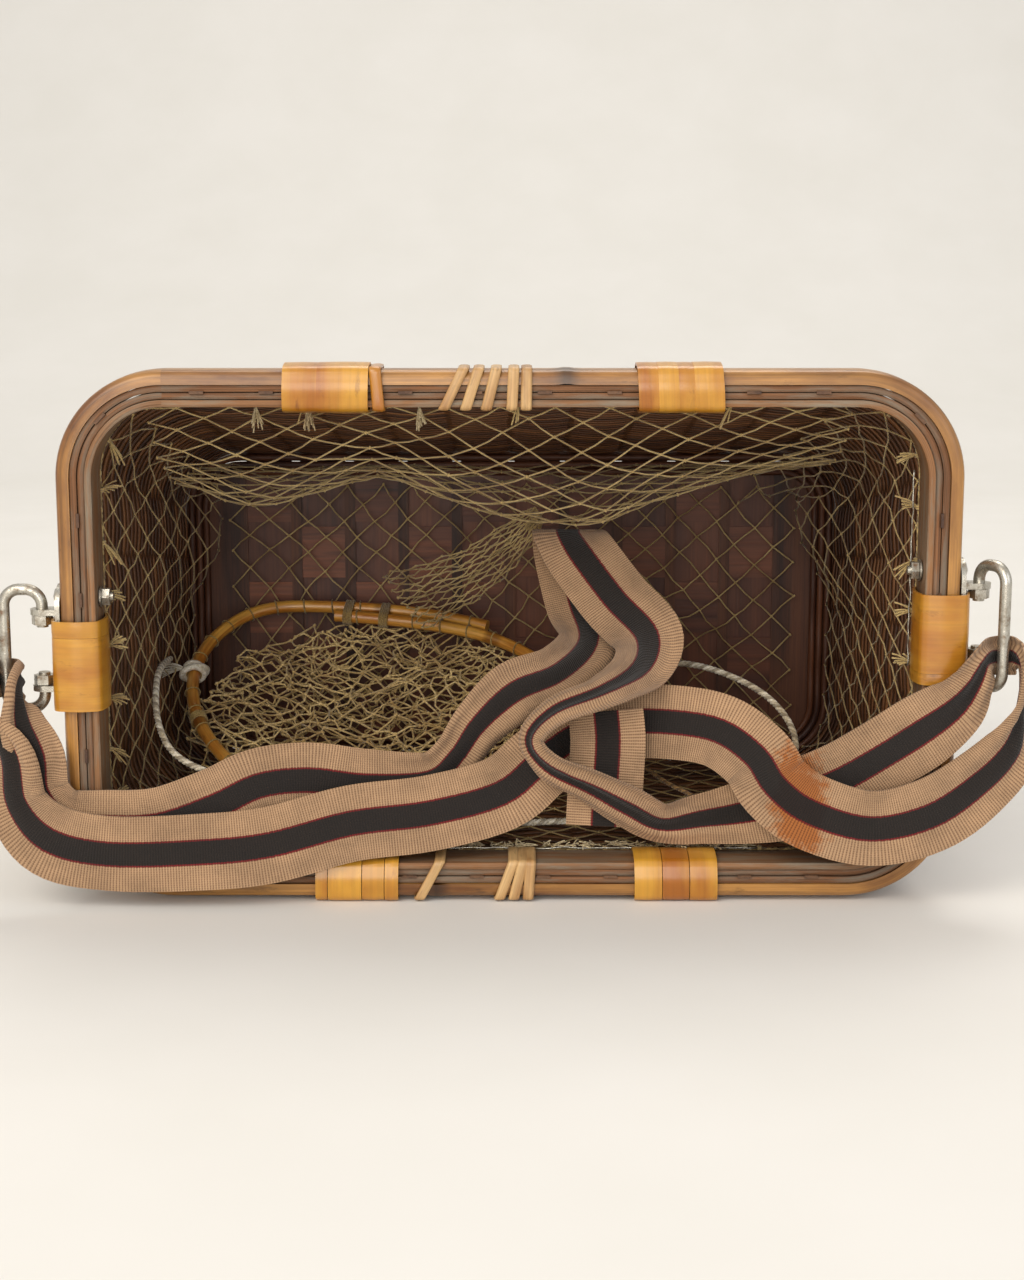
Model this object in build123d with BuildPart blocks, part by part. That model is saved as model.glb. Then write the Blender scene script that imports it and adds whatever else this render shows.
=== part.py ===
"""Fishing creel of split bamboo that lies on its back wall, with its mouth to the front.

+X runs along the mouth, +Y from the mouth to the base, +Z up from the surface it lies on.
Depths are measured from the front of the rim. The origin is on that surface, below the
middle of the whole object. All sizes are in millimetres.
"""

import os
from math import atan2, cos, degrees, pi, radians, sin, sqrt, tan

from build123d import *

os.makedirs("parts", exist_ok=True)

# ---- the basket's main sizes ----
mouth_width = 383.0  # over the outer rim hoop
mouth_height = 228.0
mouth_corner = 46.0
creel_depth = 240.0
base_half_width = 172.3  # to the middle of the end walls
base_top = 172.8  # height of the upper wall's middle at the base
base_corner = 30.0
strap_hang = 13.0  # how far the strap hangs out in front of the rim
fit = 0.2  # between pieces bound or bent onto each other
soft_fit = 0.5  # between cloth, net or cord and its neighbours

# ---- rim, from the outside inwards ----
rim_depth = 22.0
sleeve_thick = 1.8
outer_hoop_thick = 6.0
outer_hoop_round = 2.6
lamina_thick = 2.2
inner_hoop_thick = 3.2

# ---- wall weave ----
long_stakes = 10
end_stakes = 4
stake_width = 6.0
stake_thick = 1.2
weaver_thick = 1.2
weave_swing = 1.95  # from the wall's middle to the middle of a weaver as it passes a stake
weaver_width = 14.0
row_gap = 2.0
weave_start = 28.0  # depth of the first row's front edge
wall_end_gap = 1.4

# ---- base ----
cross_width = 24.0
strip_thick = 1.2
long_strips = 5
long_strip_width = 27.5
long_strip_pitch = 30.0
foot_hoop_thick = 4.0
foot_hoop_depth = 11.0

# ---- cane sleeves and lashings ----
sleeve_width = 36.0
end_sleeve_width = 39.0
wrap_corner = 0.5
band_width = 5.0
cane_width = 4.0
cane_thick = 1.1
sleeve_x = {"top_left": -77.0, "top_right": 71.5, "bottom_left": -66.5, "bottom_right": 72.0}
band_x = -55.5
top_turns = [(-24.5, 12), (-19.6, 0), (-7.6, 8), (2.0, 0), (7.6, 0)]  # place and lean
bottom_turns = [(-33.5, 8), (-4.0, 7), (2.2, 7), (8.4, 0)]
right_sleeve_z = 116.0

# ---- end plates, bails and their fasteners ----
plate_thick = 2.0
plate_width = 19.0
plate_below = 14.0  # below and above the middle of the end sleeve
plate_above = 34.0
upper_ear = 22.0
lower_ear = -11.2
ear_thick = 2.5
ear_radius = 5.0
ear_reach = 9.6  # from the outer hoop to the middle of the ear's hole
rod_radius = 2.5
pivot_clearance = 0.1
bail_reach = 16.5
bail_past_ear = 9.5
bail_bend = 7.0
nut_flats = 8.0
nut_thick = 4.0
nut_gap = 0.3
leg_past_nut = 1.2
right_bail_forward = 60.0
bolt_radius = 2.0
bolt_clearance = 0.2
bolt_head_radius = 4.0
bolt_head_thick = 2.2
rivet_head_radius = 3.4
washer_radius = 4.6
washer_thick = 0.8
bolt_nut_flats = 7.0
bolt_nut_thick = 3.2
bolt_past_nut = 1.4

# ---- net liner, landing net, cords and strap ----
head_rope = 3.0
net_thick = 1.2
net_front = 31.0
net_back = creel_depth - 11.0
swag_thick = 1.6
bunch_thick = 12.0
hoop_rod_radius = 3.2
hoop_near = (60.0, 19.0)  # depth and height of the near and the far edge of the net's hoop
hoop_far = (creel_depth - 18.0, 95.0)
hoop_slope = 178.94  # length of slope that the hoop's bends are set out on
binding_thick = 0.8
binding_width = 3.0
bag_clear = 0.5
cord_thick = 3.2
thin_cord = 2.2
strap_width = 33.0
strap_thick = 1.8

# ---- values worked out from these ----
mouth_y = -(creel_depth - strap_hang) / 2
half_mouth = mouth_width / 2
rim_low = sleeve_thick + fit
rim_high = rim_low + mouth_height
rim_middle = (rim_low + rim_high) / 2
stake_inset = outer_hoop_thick + fit + lamina_thick + fit + stake_thick / 2
band_thick = 2 * (lamina_thick + fit) + stake_thick + outer_hoop_thick + 2 * fit + inner_hoop_thick
weave_half = weave_swing + weaver_thick / 2
row_pitch = weaver_width + row_gap
weaver_rows = int((creel_depth - weave_start - 4.0) / row_pitch)
foot_front = creel_depth - foot_hoop_depth
foot_low = foot_hoop_thick + fit + weave_half
base_middle_depth = creel_depth - 1.5 * strip_thick - fit
plate_out = plate_thick + fit
pivot_x = half_mouth + ear_reach
pivot_depth = rim_depth / 2


def point(x, depth, z):
    """A place given by its depth behind the front of the rim."""
    return Vector(x, mouth_y + depth, z)


def across(depth):
    """Plane parallel to the mouth: its x is the creel's X and its y the creel's Z."""
    return Plane(origin=point(0, depth, 0), x_dir=(1, 0, 0), z_dir=(0, -1, 0))


def wall_at(depth):
    """Half width, lower side, upper side and corner radius of the wall's middle surface."""
    share = max(0.0, depth - rim_depth) / (creel_depth - rim_depth)
    half = (half_mouth - stake_inset) * (1 - share) + base_half_width * share
    low = (rim_low + stake_inset) * (1 - share) + foot_low * share
    high = (rim_high - stake_inset) * (1 - share) + base_top * share
    corner = (mouth_corner - stake_inset) * (1 - share) + base_corner * share
    return half, low, high, corner


def wall_line(side, depth):
    """Points along one wall or corner: x, z, outward normal, and whether a stake stands there.

    A wall's first and last points are where it turns into the corners.
    """
    half, low, high, corner = wall_at(depth)
    walls = {
        "top": ((-half + corner, high), (half - corner, high), (0, 1), long_stakes),
        "right": ((half, high - corner), (half, low + corner), (1, 0), end_stakes),
        "bottom": ((half - corner, low), (-half + corner, low), (0, -1), long_stakes),
        "left": ((-half, low + corner), (-half, high - corner), (-1, 0), end_stakes),
    }
    corners = {
        "top_right": ((half - corner, high - corner), 90),
        "bottom_right": ((half - corner, low + corner), 0),
        "bottom_left": ((-half + corner, low + corner), -90),
        "top_left": ((-half + corner, high - corner), 180),
    }
    if side in walls:
        (x0, z0), (x1, z1), normal, count = walls[side]
        length = abs(x1 - x0) + abs(z1 - z0)
        shares = [(i + 0.5) / count for i in range(count)]
        ends = [wall_end_gap / length, 1 - wall_end_gap / length]
        line = [(ends[0], False)] + [(share, True) for share in shares] + [(ends[1], False)]
        return [
            (x0 + (x1 - x0) * share, z0 + (z1 - z0) * share, normal, stake)
            for share, stake in line
        ]
    (cx, cz), start = corners[side]
    line = []
    for turn, stake in ((0, False), (22.5, False), (45, True), (67.5, False), (90, False)):
        normal = (cos(radians(start - turn)), sin(radians(start - turn)))
        line.append((cx + corner * normal[0], cz + corner * normal[1], normal, stake))
    return line


WALLS = ("top", "right", "bottom", "left")
CORNERS = ("top_right", "bottom_right", "bottom_left", "top_left")
ROUND = ("top", "top_right", "right", "bottom_right", "bottom", "bottom_left", "left", "top_left")


def stakes_at(depth):
    """Every stake's x, z and outward normal, clockwise from the left end of the upper wall."""
    places = []
    for side in ROUND:
        places += [(x, z, normal) for x, z, normal, stake in wall_line(side, depth) if stake]
    return places


def keep(piece, name):
    """Label a finished piece and write it."""
    piece.label = name
    export_step(piece, f"parts/{name}.step")


# ---- the plates' fasteners, set by the stakes of the left end ----
end_stake_z = sorted(z for x, z, normal, stake in wall_line("left", 0) if stake)
rivet_z = {"left": end_stake_z[1]}
bolt_z = {"left": end_stake_z[2]}
bolt_above_sleeve = upper_ear + ear_thick / 2 + bolt_head_radius + 1.2
left_sleeve_z = bolt_z["left"] - bolt_above_sleeve
rivet_below = left_sleeve_z - rivet_z["left"]
sleeve_z = {"left": left_sleeve_z, "right": right_sleeve_z}
bolt_z["right"] = right_sleeve_z + bolt_above_sleeve
rivet_z["right"] = right_sleeve_z - rivet_below
outward = {"left": -1, "right": 1}


def fastener_holes(radius):
    """Clear the bolts' and rivets' shanks out of a piece of the rim."""
    for side, sign in outward.items():
        spots = [(sign * half_mouth, mouth_y + pivot_depth, z[side]) for z in (bolt_z, rivet_z)]
        with Locations(*[Location(spot, (0, 90, 0)) for spot in spots]):
            Cylinder(radius, 4 * band_thick, mode=Mode.SUBTRACT)


# ======== wall stakes ========
with BuildPart() as wall_stakes:
    rim_places = stakes_at(rim_depth)
    base_places = stakes_at(creel_depth)
    for (x, z, normal), (base_x, base_z, _) in zip(rim_places, base_places):
        lean = degrees(atan2(normal[1], normal[0])) - 90
        with BuildSketch(across(rim_depth)) as foot:
            with Locations((x, z)):
                Rectangle(stake_width, stake_thick, rotation=lean)
        run = Vector(base_x - x, creel_depth - rim_depth, base_z - z)
        extrude(foot.sketch, amount=run.length, dir=run, clean=False)
        extrude(foot.sketch, amount=rim_depth - fit, clean=False)
    fastener_holes(bolt_radius + bolt_clearance)
keep(wall_stakes.part, "wall_stakes")


# ======== weavers ========
def weaver_row(side, row):
    """One row of split bamboo along a wall or round a corner, over and under its stakes."""
    front = weave_start + row * row_pitch
    back = front + weaver_width
    first = ROUND.index(side)
    before = sum(long_stakes if ROUND[i] in ("top", "bottom") else
                 end_stakes if ROUND[i] in WALLS else 1 for i in range(first))
    passed = before + row
    outer = []
    inner = []
    line = wall_line(side, front)
    for i, (x, z, (nx, nz), stake) in enumerate(line):
        swing = 0.0
        if stake:
            swing = weave_swing if passed % 2 else -weave_swing
            passed += 1
        elif 0 < i < len(line) - 1:
            swing = weave_swing if (before + row) % 2 else -weave_swing
        near = swing - weaver_thick / 2
        far = swing + weaver_thick / 2
        inner.append((x + nx * near, z + nz * near))
        outer.append((x + nx * far, z + nz * far))
    with BuildSketch(across(front)) as section:
        with BuildLine():
            Polyline(*inner, *reversed(outer), close=True)
        make_face()
    middle = len(line) // 2
    there = wall_line(side, back)
    if side in CORNERS:
        moved = [there[middle][axis] - line[middle][axis] for axis in (0, 1)]
    else:
        moved = [(there[0][axis] + there[-1][axis] - line[0][axis] - line[-1][axis]) / 2
                 for axis in (0, 1)]
    run = Vector(moved[0], weaver_width, moved[1])
    extrude(section.sketch, amount=run.length, dir=run, clean=False)


for side in WALLS:
    with BuildPart() as weavers:
        for row in range(weaver_rows):
            weaver_row(side, row)
    keep(weavers.part, f"{side}_wall_weavers")

with BuildPart() as corner_weavers:
    for side in CORNERS:
        for row in range(weaver_rows):
            weaver_row(side, row)
keep(corner_weavers.part, "corner_weavers")

# ======== base ========
base_half, base_low, base_high, base_round = wall_at(base_middle_depth)
base_inset = stake_thick / 2 + fit
cross_x = [x for x, z, normal, stake in wall_line("top", creel_depth) if stake]
strip_swing = strip_thick + fit / 2

with BuildPart() as base_cross_strips:
    tall = base_high - base_low - 2 * base_inset
    with BuildSketch(across(base_middle_depth + strip_thick / 2)):
        with Locations(*[(x, (base_low + base_high) / 2) for x in cross_x]):
            Rectangle(cross_width, tall)
    extrude(amount=strip_thick)
keep(base_cross_strips.part, "base_cross_strips")

with BuildPart() as base_long_strips:
    for i in range(long_strips):
        z = (base_low + base_high) / 2 + (i - (long_strips - 1) / 2) * long_strip_pitch
        edge = max(base_high - base_inset, 0) - (z + long_strip_width / 2)
        edge = min(edge, z - long_strip_width / 2 - base_low - base_inset)
        reach = base_round - base_inset
        inset = reach - sqrt(max(0.0, reach**2 - (reach - min(edge, reach)) ** 2))
        end = base_half - base_inset - inset - fit
        line = [(-end, 0.0)]
        for j, x in enumerate(cross_x):
            level = strip_swing if (i + j) % 2 else -strip_swing
            flat = cross_width / 2 + fit
            line += [(x - flat, level), (x + flat, level)]
        line.append((end, 0.0))
        near = [(x, mouth_y + base_middle_depth + y - strip_thick / 2) for x, y in line]
        far = [(x, mouth_y + base_middle_depth + y + strip_thick / 2) for x, y in line]
        with BuildSketch(Plane.XY.offset(z - long_strip_width / 2)):
            with BuildLine():
                Polyline(*near, *reversed(far), close=True)
            make_face()
        extrude(amount=long_strip_width)
keep(base_long_strips.part, "base_long_strips")

with BuildPart() as foot_hoop:
    half, _, high, corner = wall_at(foot_front)
    low = foot_low
    inside = weave_half + fit
    outside = inside + foot_hoop_thick
    with BuildSketch(across(creel_depth)):
        with Locations((0, (low + high) / 2)):
            RectangleRounded(2 * (half + outside), high - low + 2 * outside, corner + outside)
            RectangleRounded(2 * (half + inside), high - low + 2 * inside, corner + inside,
                             mode=Mode.SUBTRACT)
    extrude(amount=foot_hoop_depth)
keep(foot_hoop.part, "foot_hoop")


# ======== rim hoops ========
def hoop_section(inset, thick):
    """Ring between two rounded rectangles, `inset` inside the rim's outer surface."""
    with Locations((0, rim_middle)):
        for outer, mode in ((inset, Mode.ADD), (inset + thick, Mode.SUBTRACT)):
            RectangleRounded(
                mouth_width - 2 * outer, mouth_height - 2 * outer, mouth_corner - outer, mode=mode
            )


with BuildPart() as rim_outer_hoop:
    with BuildSketch(across(rim_depth)):
        hoop_section(0, outer_hoop_thick)
    extrude(amount=rim_depth)
    ends = rim_outer_hoop.faces().filter_by(Axis.Y).sort_by(Axis.Y)
    for face in (ends[0], ends[-1]):
        fillet(face.outer_wire().edges(), outer_hoop_round)
    fastener_holes(bolt_radius + bolt_clearance)
keep(rim_outer_hoop.part, "rim_outer_hoop")

lamina_inset = outer_hoop_thick + fit
inner_lamina_inset = lamina_inset + lamina_thick + 2 * fit + stake_thick
inner_hoop_inset = inner_lamina_inset + lamina_thick + fit
for name, inset, thick, set_back in (
    ("rim_outer_lamina", lamina_inset, lamina_thick, 0.8),
    ("rim_inner_lamina", inner_lamina_inset, lamina_thick, 1.4),
    ("rim_inner_hoop", inner_hoop_inset, inner_hoop_thick, 0.4),
):
    with BuildPart() as hoop:
        with BuildSketch(across(rim_depth)):
            hoop_section(inset, thick)
        extrude(amount=rim_depth - set_back)
        fastener_holes(bolt_radius + bolt_clearance)
    keep(hoop.part, name)


# ======== cane sleeves, band and lashings ========
def rim_plane(side, along):
    """Plane across the rim: x points outwards from its outer surface and y is the depth."""
    places = {
        "top": ((along, mouth_y, rim_high), (0, 0, 1), (-1, 0, 0)),
        "bottom": ((along, mouth_y, rim_low), (0, 0, -1), (1, 0, 0)),
        "right": ((half_mouth, mouth_y, along), (1, 0, 0), (0, 0, 1)),
        "left": ((-half_mouth, mouth_y, along), (-1, 0, 0), (0, 0, -1)),
    }
    origin, x_dir, z_dir = places[side]
    return Plane(origin=origin, x_dir=x_dir, z_dir=z_dir)


def wrap(plane, width, thick, extra_out=0.0, lean=0.0):
    """A closed wrap of cane round the rim, `width` wide and centred on the plane."""
    slack = fit + width / 2 * tan(radians(lean))
    tall = (band_thick + extra_out) / cos(radians(lean)) + 2 * slack
    deep = rim_depth + 2 * fit
    middle = (extra_out - band_thick) / 2
    leaning = plane.rotated((0, lean, 0))
    shift = middle / cos(radians(lean))
    with BuildSketch(leaning) as ring:
        with Locations((shift, rim_depth / 2)):
            RectangleRounded(tall + 2 * thick, deep + 2 * thick, thick + wrap_corner)
            RectangleRounded(tall, deep, wrap_corner, mode=Mode.SUBTRACT)
    extrude(ring.sketch, amount=width / 2, both=True)


def stake_slots(x_range, z_range):
    """Let the stakes through the back of a wrap that crosses them."""
    reach = rim_depth + sleeve_thick
    for x, z, normal in stakes_at(reach):
        inside_x = x_range[0] < x < x_range[1]
        inside_z = z_range[0] < z < z_range[1]
        if inside_x and inside_z:
            turn = -degrees(atan2(normal[1], normal[0])) + 90
            with Locations(Location(point(x, reach, z), (0, turn, 0))):
                Box(stake_width + 2 * soft_fit, 3 * sleeve_thick, stake_thick + 2.4 * soft_fit,
                    mode=Mode.SUBTRACT)


for spot, x in sleeve_x.items():
    side = spot.split("_")[0]
    with BuildPart() as sleeve:
        wrap(rim_plane(side, x), sleeve_width, sleeve_thick)
        middle = rim_high if side == "top" else rim_low
        stake_slots((x - 30, x + 30), (middle - 30, middle + 30))
    keep(sleeve.part, f"sleeve_{spot}")

for side, sign in outward.items():
    with BuildPart() as sleeve:
        z = sleeve_z[side]
        wrap(rim_plane(side, z), end_sleeve_width, sleeve_thick, extra_out=plate_out)
        stake_slots(sorted((sign * 150, sign * 220)), (z - 30, z + 30))
        ear_spot = (sign * (half_mouth + ear_reach), mouth_y + pivot_depth, z + lower_ear)
        with Locations(ear_spot):
            Box(2 * ear_reach, 2 * (ear_radius + soft_fit), ear_thick + 2 * soft_fit,
                mode=Mode.SUBTRACT)
    keep(sleeve.part, f"sleeve_{side}_end")

with BuildPart() as sleeve_band:
    wrap(rim_plane("top", band_x), band_width, sleeve_thick)
keep(sleeve_band.part, "sleeve_band")

for side, turns in (("top", top_turns), ("bottom", bottom_turns)):
    with BuildPart() as lashing:
        for x, lean in turns:
            wrap(rim_plane(side, x), cane_width, cane_thick, lean=lean)
    keep(lashing.part, f"{side}_lashing")


# ======== end plates with ears ========
for side, sign in outward.items():
    z = sleeve_z[side]
    with BuildPart() as plate:
        face = Plane(
            origin=(sign * (half_mouth + fit), mouth_y + pivot_depth, z),
            x_dir=(0, 1, 0), z_dir=(sign, 0, 0),
        )
        up = 1 if sign > 0 else -1
        tip = plate_above - plate_width / 2
        with BuildSketch(face):
            with Locations((0, up * (tip - plate_below) / 2)):
                Rectangle(plate_width, tip + plate_below)
            with Locations((0, up * tip)):
                Circle(plate_width / 2)
        extrude(amount=plate_thick)
        for level in (upper_ear, lower_ear):
            ear = Plane.XY.offset(z + level - ear_thick / 2)
            with BuildSketch(ear):
                with Locations((sign * (half_mouth + fit + ear_reach / 2), mouth_y + pivot_depth)):
                    Rectangle(ear_reach, 2 * ear_radius)
                with Locations((sign * pivot_x, mouth_y + pivot_depth)):
                    Circle(ear_radius)
                    Circle(rod_radius + pivot_clearance, mode=Mode.SUBTRACT)
            extrude(amount=ear_thick)
        spots = [(sign * half_mouth, mouth_y + pivot_depth, level[side]) for level in (bolt_z, rivet_z)]
        with Locations(*[Location(spot, (0, 90, 0)) for spot in spots]):
            Cylinder(bolt_radius + bolt_clearance, 4 * plate_out, mode=Mode.SUBTRACT)
        sink = Location((sign * (half_mouth + plate_out - plate_thick / 2), mouth_y + pivot_depth,
                         rivet_z[side]), (0, 90 * sign, 0))
        with Locations(sink):
            Cone(bolt_radius + bolt_clearance, rivet_head_radius + bolt_clearance, plate_thick,
                 mode=Mode.SUBTRACT)
    keep(plate.part, f"{side}_end_plate")


# ======== plate bolts, rivets, washers and nuts ========
def turned(side, z, profile):
    """Revolve a profile of (distance outwards from the outer hoop, radius) about a bolt's axis."""
    sign = outward[side]
    axis_plane = Plane(
        origin=(sign * half_mouth, mouth_y + pivot_depth, z), x_dir=(sign, 0, 0), z_dir=(0, -sign, 0)
    )
    with BuildSketch(axis_plane) as shape:
        with BuildLine():
            Polyline(*profile, close=True)
        make_face()
    revolve(shape.sketch, axis=Axis(axis_plane.origin, axis_plane.x_dir))


nut_seat = -band_thick - fit - washer_thick
with BuildPart() as plate_bolts:
    for side in outward:
        shank_end = nut_seat - fit - bolt_nut_thick - bolt_past_nut
        head = plate_out + fit
        turned(side, bolt_z[side], [
            (shank_end, 0), (shank_end, bolt_radius), (head, bolt_radius),
            (head, bolt_head_radius), (head + bolt_head_thick / 2, bolt_head_radius * 0.85),
            (head + bolt_head_thick, 0),
        ])
keep(plate_bolts.part, "plate_bolts")

with BuildPart() as plate_rivets:
    for side in outward:
        head = plate_out - plate_thick
        turned(side, rivet_z[side], [
            (-band_thick, 0), (-band_thick, bolt_radius), (head, bolt_radius),
            (plate_out, rivet_head_radius), (plate_out, 0),
        ])
keep(plate_rivets.part, "plate_rivets")

with BuildPart() as plate_nuts:
    for side, sign in outward.items():
        for start, shape, size, thick in (
            (-band_thick - fit, Circle, washer_radius, washer_thick),
            (nut_seat - fit, RegularPolygon, bolt_nut_flats / sqrt(3), bolt_nut_thick),
        ):
            seat = Plane(
                origin=(sign * (half_mouth + start), mouth_y + pivot_depth, bolt_z[side]),
                x_dir=(0, 1, 0), z_dir=(-sign, 0, 0),
            )
            with BuildSketch(seat):
                if shape is Circle:
                    Circle(size)
                else:
                    RegularPolygon(size, 6)
                Circle(bolt_radius + bolt_clearance / 2, mode=Mode.SUBTRACT)
            extrude(amount=thick)
keep(plate_nuts.part, "plate_nuts")

# ======== bails ========
bail_turn = {"left": 180.0, "right": -right_bail_forward}
for side, sign in outward.items():
    z = sleeve_z[side]
    turn = radians(bail_turn[side])
    out = Vector(cos(turn), sin(turn), 0)
    pivot = Vector(sign * pivot_x, mouth_y + pivot_depth, z)
    top = upper_ear + bail_past_ear
    bottom = lower_ear - bail_past_ear
    leg = ear_thick / 2 + nut_gap + nut_thick + leg_past_nut
    bends = [(0, upper_ear - leg), (0, top), (bail_reach, top), (bail_reach, bottom), (0, bottom),
             (0, lower_ear + leg)]
    with BuildPart() as bail:
        with BuildLine() as path:
            FilletPolyline(*[pivot + out * x + Vector(0, 0, y) for x, y in bends], radius=bail_bend)
        start = Plane(origin=pivot + Vector(0, 0, upper_ear - leg), z_dir=(0, 0, 1))
        with BuildSketch(start):
            Circle(rod_radius)
        sweep(path=path.wires()[0])
    keep(bail.part, f"{side}_bail")
    with BuildPart() as nuts:
        for level, away in ((upper_ear, -1), (lower_ear, 1)):
            low = z + level + away * (ear_thick / 2 + nut_gap)
            if away < 0:
                low -= nut_thick
            with BuildSketch(Plane(origin=(pivot.X, pivot.Y, low))):
                RegularPolygon(nut_flats / sqrt(3), 6)
                Circle(rod_radius + bolt_clearance / 2, mode=Mode.SUBTRACT)
            extrude(amount=nut_thick)
    keep(nuts.part, f"{side}_bail_nuts")

# ======== net liner ========
with BuildPart() as net_head_rope:
    inset = band_thick - head_rope
    rope_back = rim_depth + 2 * fit + sleeve_thick + head_rope
    with BuildSketch(across(rope_back)):
        hoop_section(inset, head_rope)
    extrude(amount=head_rope)
    ends = net_head_rope.faces().filter_by(Axis.Y).sort_by(Axis.Y)
    fillet(ends[0].edges() + ends[-1].edges(), head_rope * 0.4)
keep(net_head_rope.part, "net_head_rope")

net_inset = weave_half + soft_fit + net_thick / 2
for side, name in (("left", "net_left_panel"), ("right", "net_right_panel"), ("bottom", "net_floor")):
    with BuildPart() as panel:
        for depth in (net_front, net_back):
            half, low, high, corner = wall_at(depth)
            with BuildSketch(across(depth)):
                if side == "bottom":
                    with Locations((0, low + net_inset)):
                        Rectangle(2 * (half - corner), net_thick)
                else:
                    x = outward[side] * (half - net_inset)
                    with Locations((x, (low + high) / 2)):
                        Rectangle(net_thick, high - low - 2 * corner)
        loft(ruled=True)
    keep(panel.part, name)

with BuildPart() as net_back_panel:
    depth = base_middle_depth - strip_swing - strip_thick / 2 - soft_fit
    half, low, high, corner = wall_at(depth)
    with BuildSketch(across(depth)):
        with Locations((0, (low + high) / 2)):
            RectangleRounded(2 * (half - net_inset), high - low - 2 * net_inset, corner - net_inset)
    extrude(amount=net_thick)
keep(net_back_panel.part, "net_back")


def through(sections):
    """Straight-sided solid through closed outlines, each given as its corner points."""
    outlines_ready = []
    for corners in sections:
        outline = Plane(
            origin=corners[0], x_dir=corners[1] - corners[0],
            z_dir=(corners[1] - corners[0]).cross(corners[-1] - corners[0]),
        )
        flat = [outline.to_local_coords(corner) for corner in corners]
        with BuildSketch(outline) as section:
            with BuildLine():
                Polyline(*[(corner.X, corner.Y) for corner in flat], close=True)
            make_face()
        outlines_ready.append(section.sketch)
    loft(outlines_ready, ruled=True)


swag_line = [
    (-154, 173), (-122, 162), (-89, 168), (-61, 176), (-28, 164), (5, 155), (38, 152.5), (61, 162),
    (89, 170), (117, 178), (149, 182),
]  # x and height of the swag's lowest fold
swag_fold = 96.0
swag_back_z = 167.0
with BuildPart() as net_top_swag:
    outlines = []
    for x, low_z in swag_line:
        high_front = wall_at(net_front)[2] - weave_half - 2 * soft_fit - swag_thick
        profile = [(net_front, high_front), (swag_fold / 2 + 4, high_front * 0.35 + low_z * 0.65),
                   (swag_fold, low_z), (creel_depth - 18.0, swag_back_z)]
        under = [point(x, depth, z) for depth, z in profile]
        over = [point(x, depth, z + swag_thick) for depth, z in profile]
        outlines.append(under + over[::-1])
    through(outlines)
keep(net_top_swag.part, "net_top_swag")

bunch_line = [(14, 123, 150.5), (2, 134, 137), (-16, 152, 120), (-38, 172, 106), (-56, 186, 97)]
with BuildPart() as net_bunch:
    outlines = []
    for i, (x, depth, z) in enumerate(bunch_line):
        size = bunch_thick / 2 * (1.0, 0.9, 0.8, 1.0, 0.6)[i]
        outlines.append([point(x + size * a, depth, z + size * b)
                         for a, b in ((1, 0.5), (0.4, 1), (-0.5, 1), (-1, 0.3), (-0.6, -0.9), (0.6, -0.8))])
    through(outlines)
keep(net_bunch.part, "net_bunch")

# ======== landing net ========
slope = Vector(0, hoop_far[0] - hoop_near[0], hoop_far[1] - hoop_near[1])
hoop_fit = slope.length / hoop_slope
slope = slope.normalized()


def in_hoop(across_x, up_slope, above=0.0):
    """A place in the landing net's leaning plane."""
    lift = Vector(1, 0, 0).cross(slope)
    near = point(across_x, *hoop_near)
    return near + slope * up_slope * hoop_fit + lift * above


def bend_radii(points, share=0.45):
    """The largest bend that leaves some straight on the shorter run at every corner."""
    radii = []
    for before, here, after in zip(points, points[1:], points[2:]):
        first = here - before
        second = after - here
        half_turn = radians(first.get_angle(second)) / 2
        radii.append(share * min(first.length, second.length) / tan(half_turn))
    return radii


def cord(points, radius):
    """A round cord or rod along straight runs and tangent bends."""
    radii = bend_radii(points)
    with BuildLine() as line:
        FilletPolyline(*points, radius=radii)
    path = line.wires()[0]
    start = (points[1] - points[0]).normalized()
    with BuildSketch(Plane(origin=points[0], z_dir=start)) as section:
        Circle(radius)
    sweep(section.sketch, path=path)
    print("length", round(path.length, 1), "radii", [round(value, 1) for value in radii])


rod_gap = 2 * hoop_rod_radius + 0.8
hoop_line = [
    (-92, 167), (-40, 161), (5, 140), (31, 102), (38, 58), (20, 17), (-22, 1), (-72, 3), (-116, 23),
    (-146, 58), (-161, 100), (-158, 142), (-134, 168 + rod_gap), (-94, 168.5 + rod_gap),
    (-40, 162 + rod_gap), (-12, 150 + rod_gap),
]
with BuildPart() as landing_net_hoop:
    cord([in_hoop(*spot) for spot in hoop_line], hoop_rod_radius)
keep(landing_net_hoop.part, "landing_net_hoop")

with BuildPart() as hoop_bindings:
    clear = hoop_rod_radius + 2 * fit
    for i, j, share, double in (
        (1, 0, 0.5, True), (1, 0, 0.85, True), (3, 4, 0.5, False), (6, 7, 0.5, False),
        (9, 10, 0.5, False),
    ):
        a = in_hoop(*hoop_line[i])
        b = in_hoop(*hoop_line[j])
        centre = a + (b - a) * share
        along = (b - a).normalized()
        outwards = along.cross(Vector(1, 0, 0).cross(slope)).normalized()
        if outwards.dot(slope) < 0:
            outwards = outwards * -1
        reach = rod_gap + 1.5 if double else 0.0
        turn = Plane(origin=centre + outwards * reach / 2, x_dir=outwards, z_dir=along)
        with BuildSketch(turn):
            if double:
                SlotCenterToCenter(reach, 2 * (clear + binding_thick))
                SlotCenterToCenter(reach, 2 * clear, mode=Mode.SUBTRACT)
            else:
                Circle(clear + binding_thick)
                Circle(clear, mode=Mode.SUBTRACT)
        extrude(amount=binding_width / 2, both=True)
keep(hoop_bindings.part, "hoop_bindings")

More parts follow.
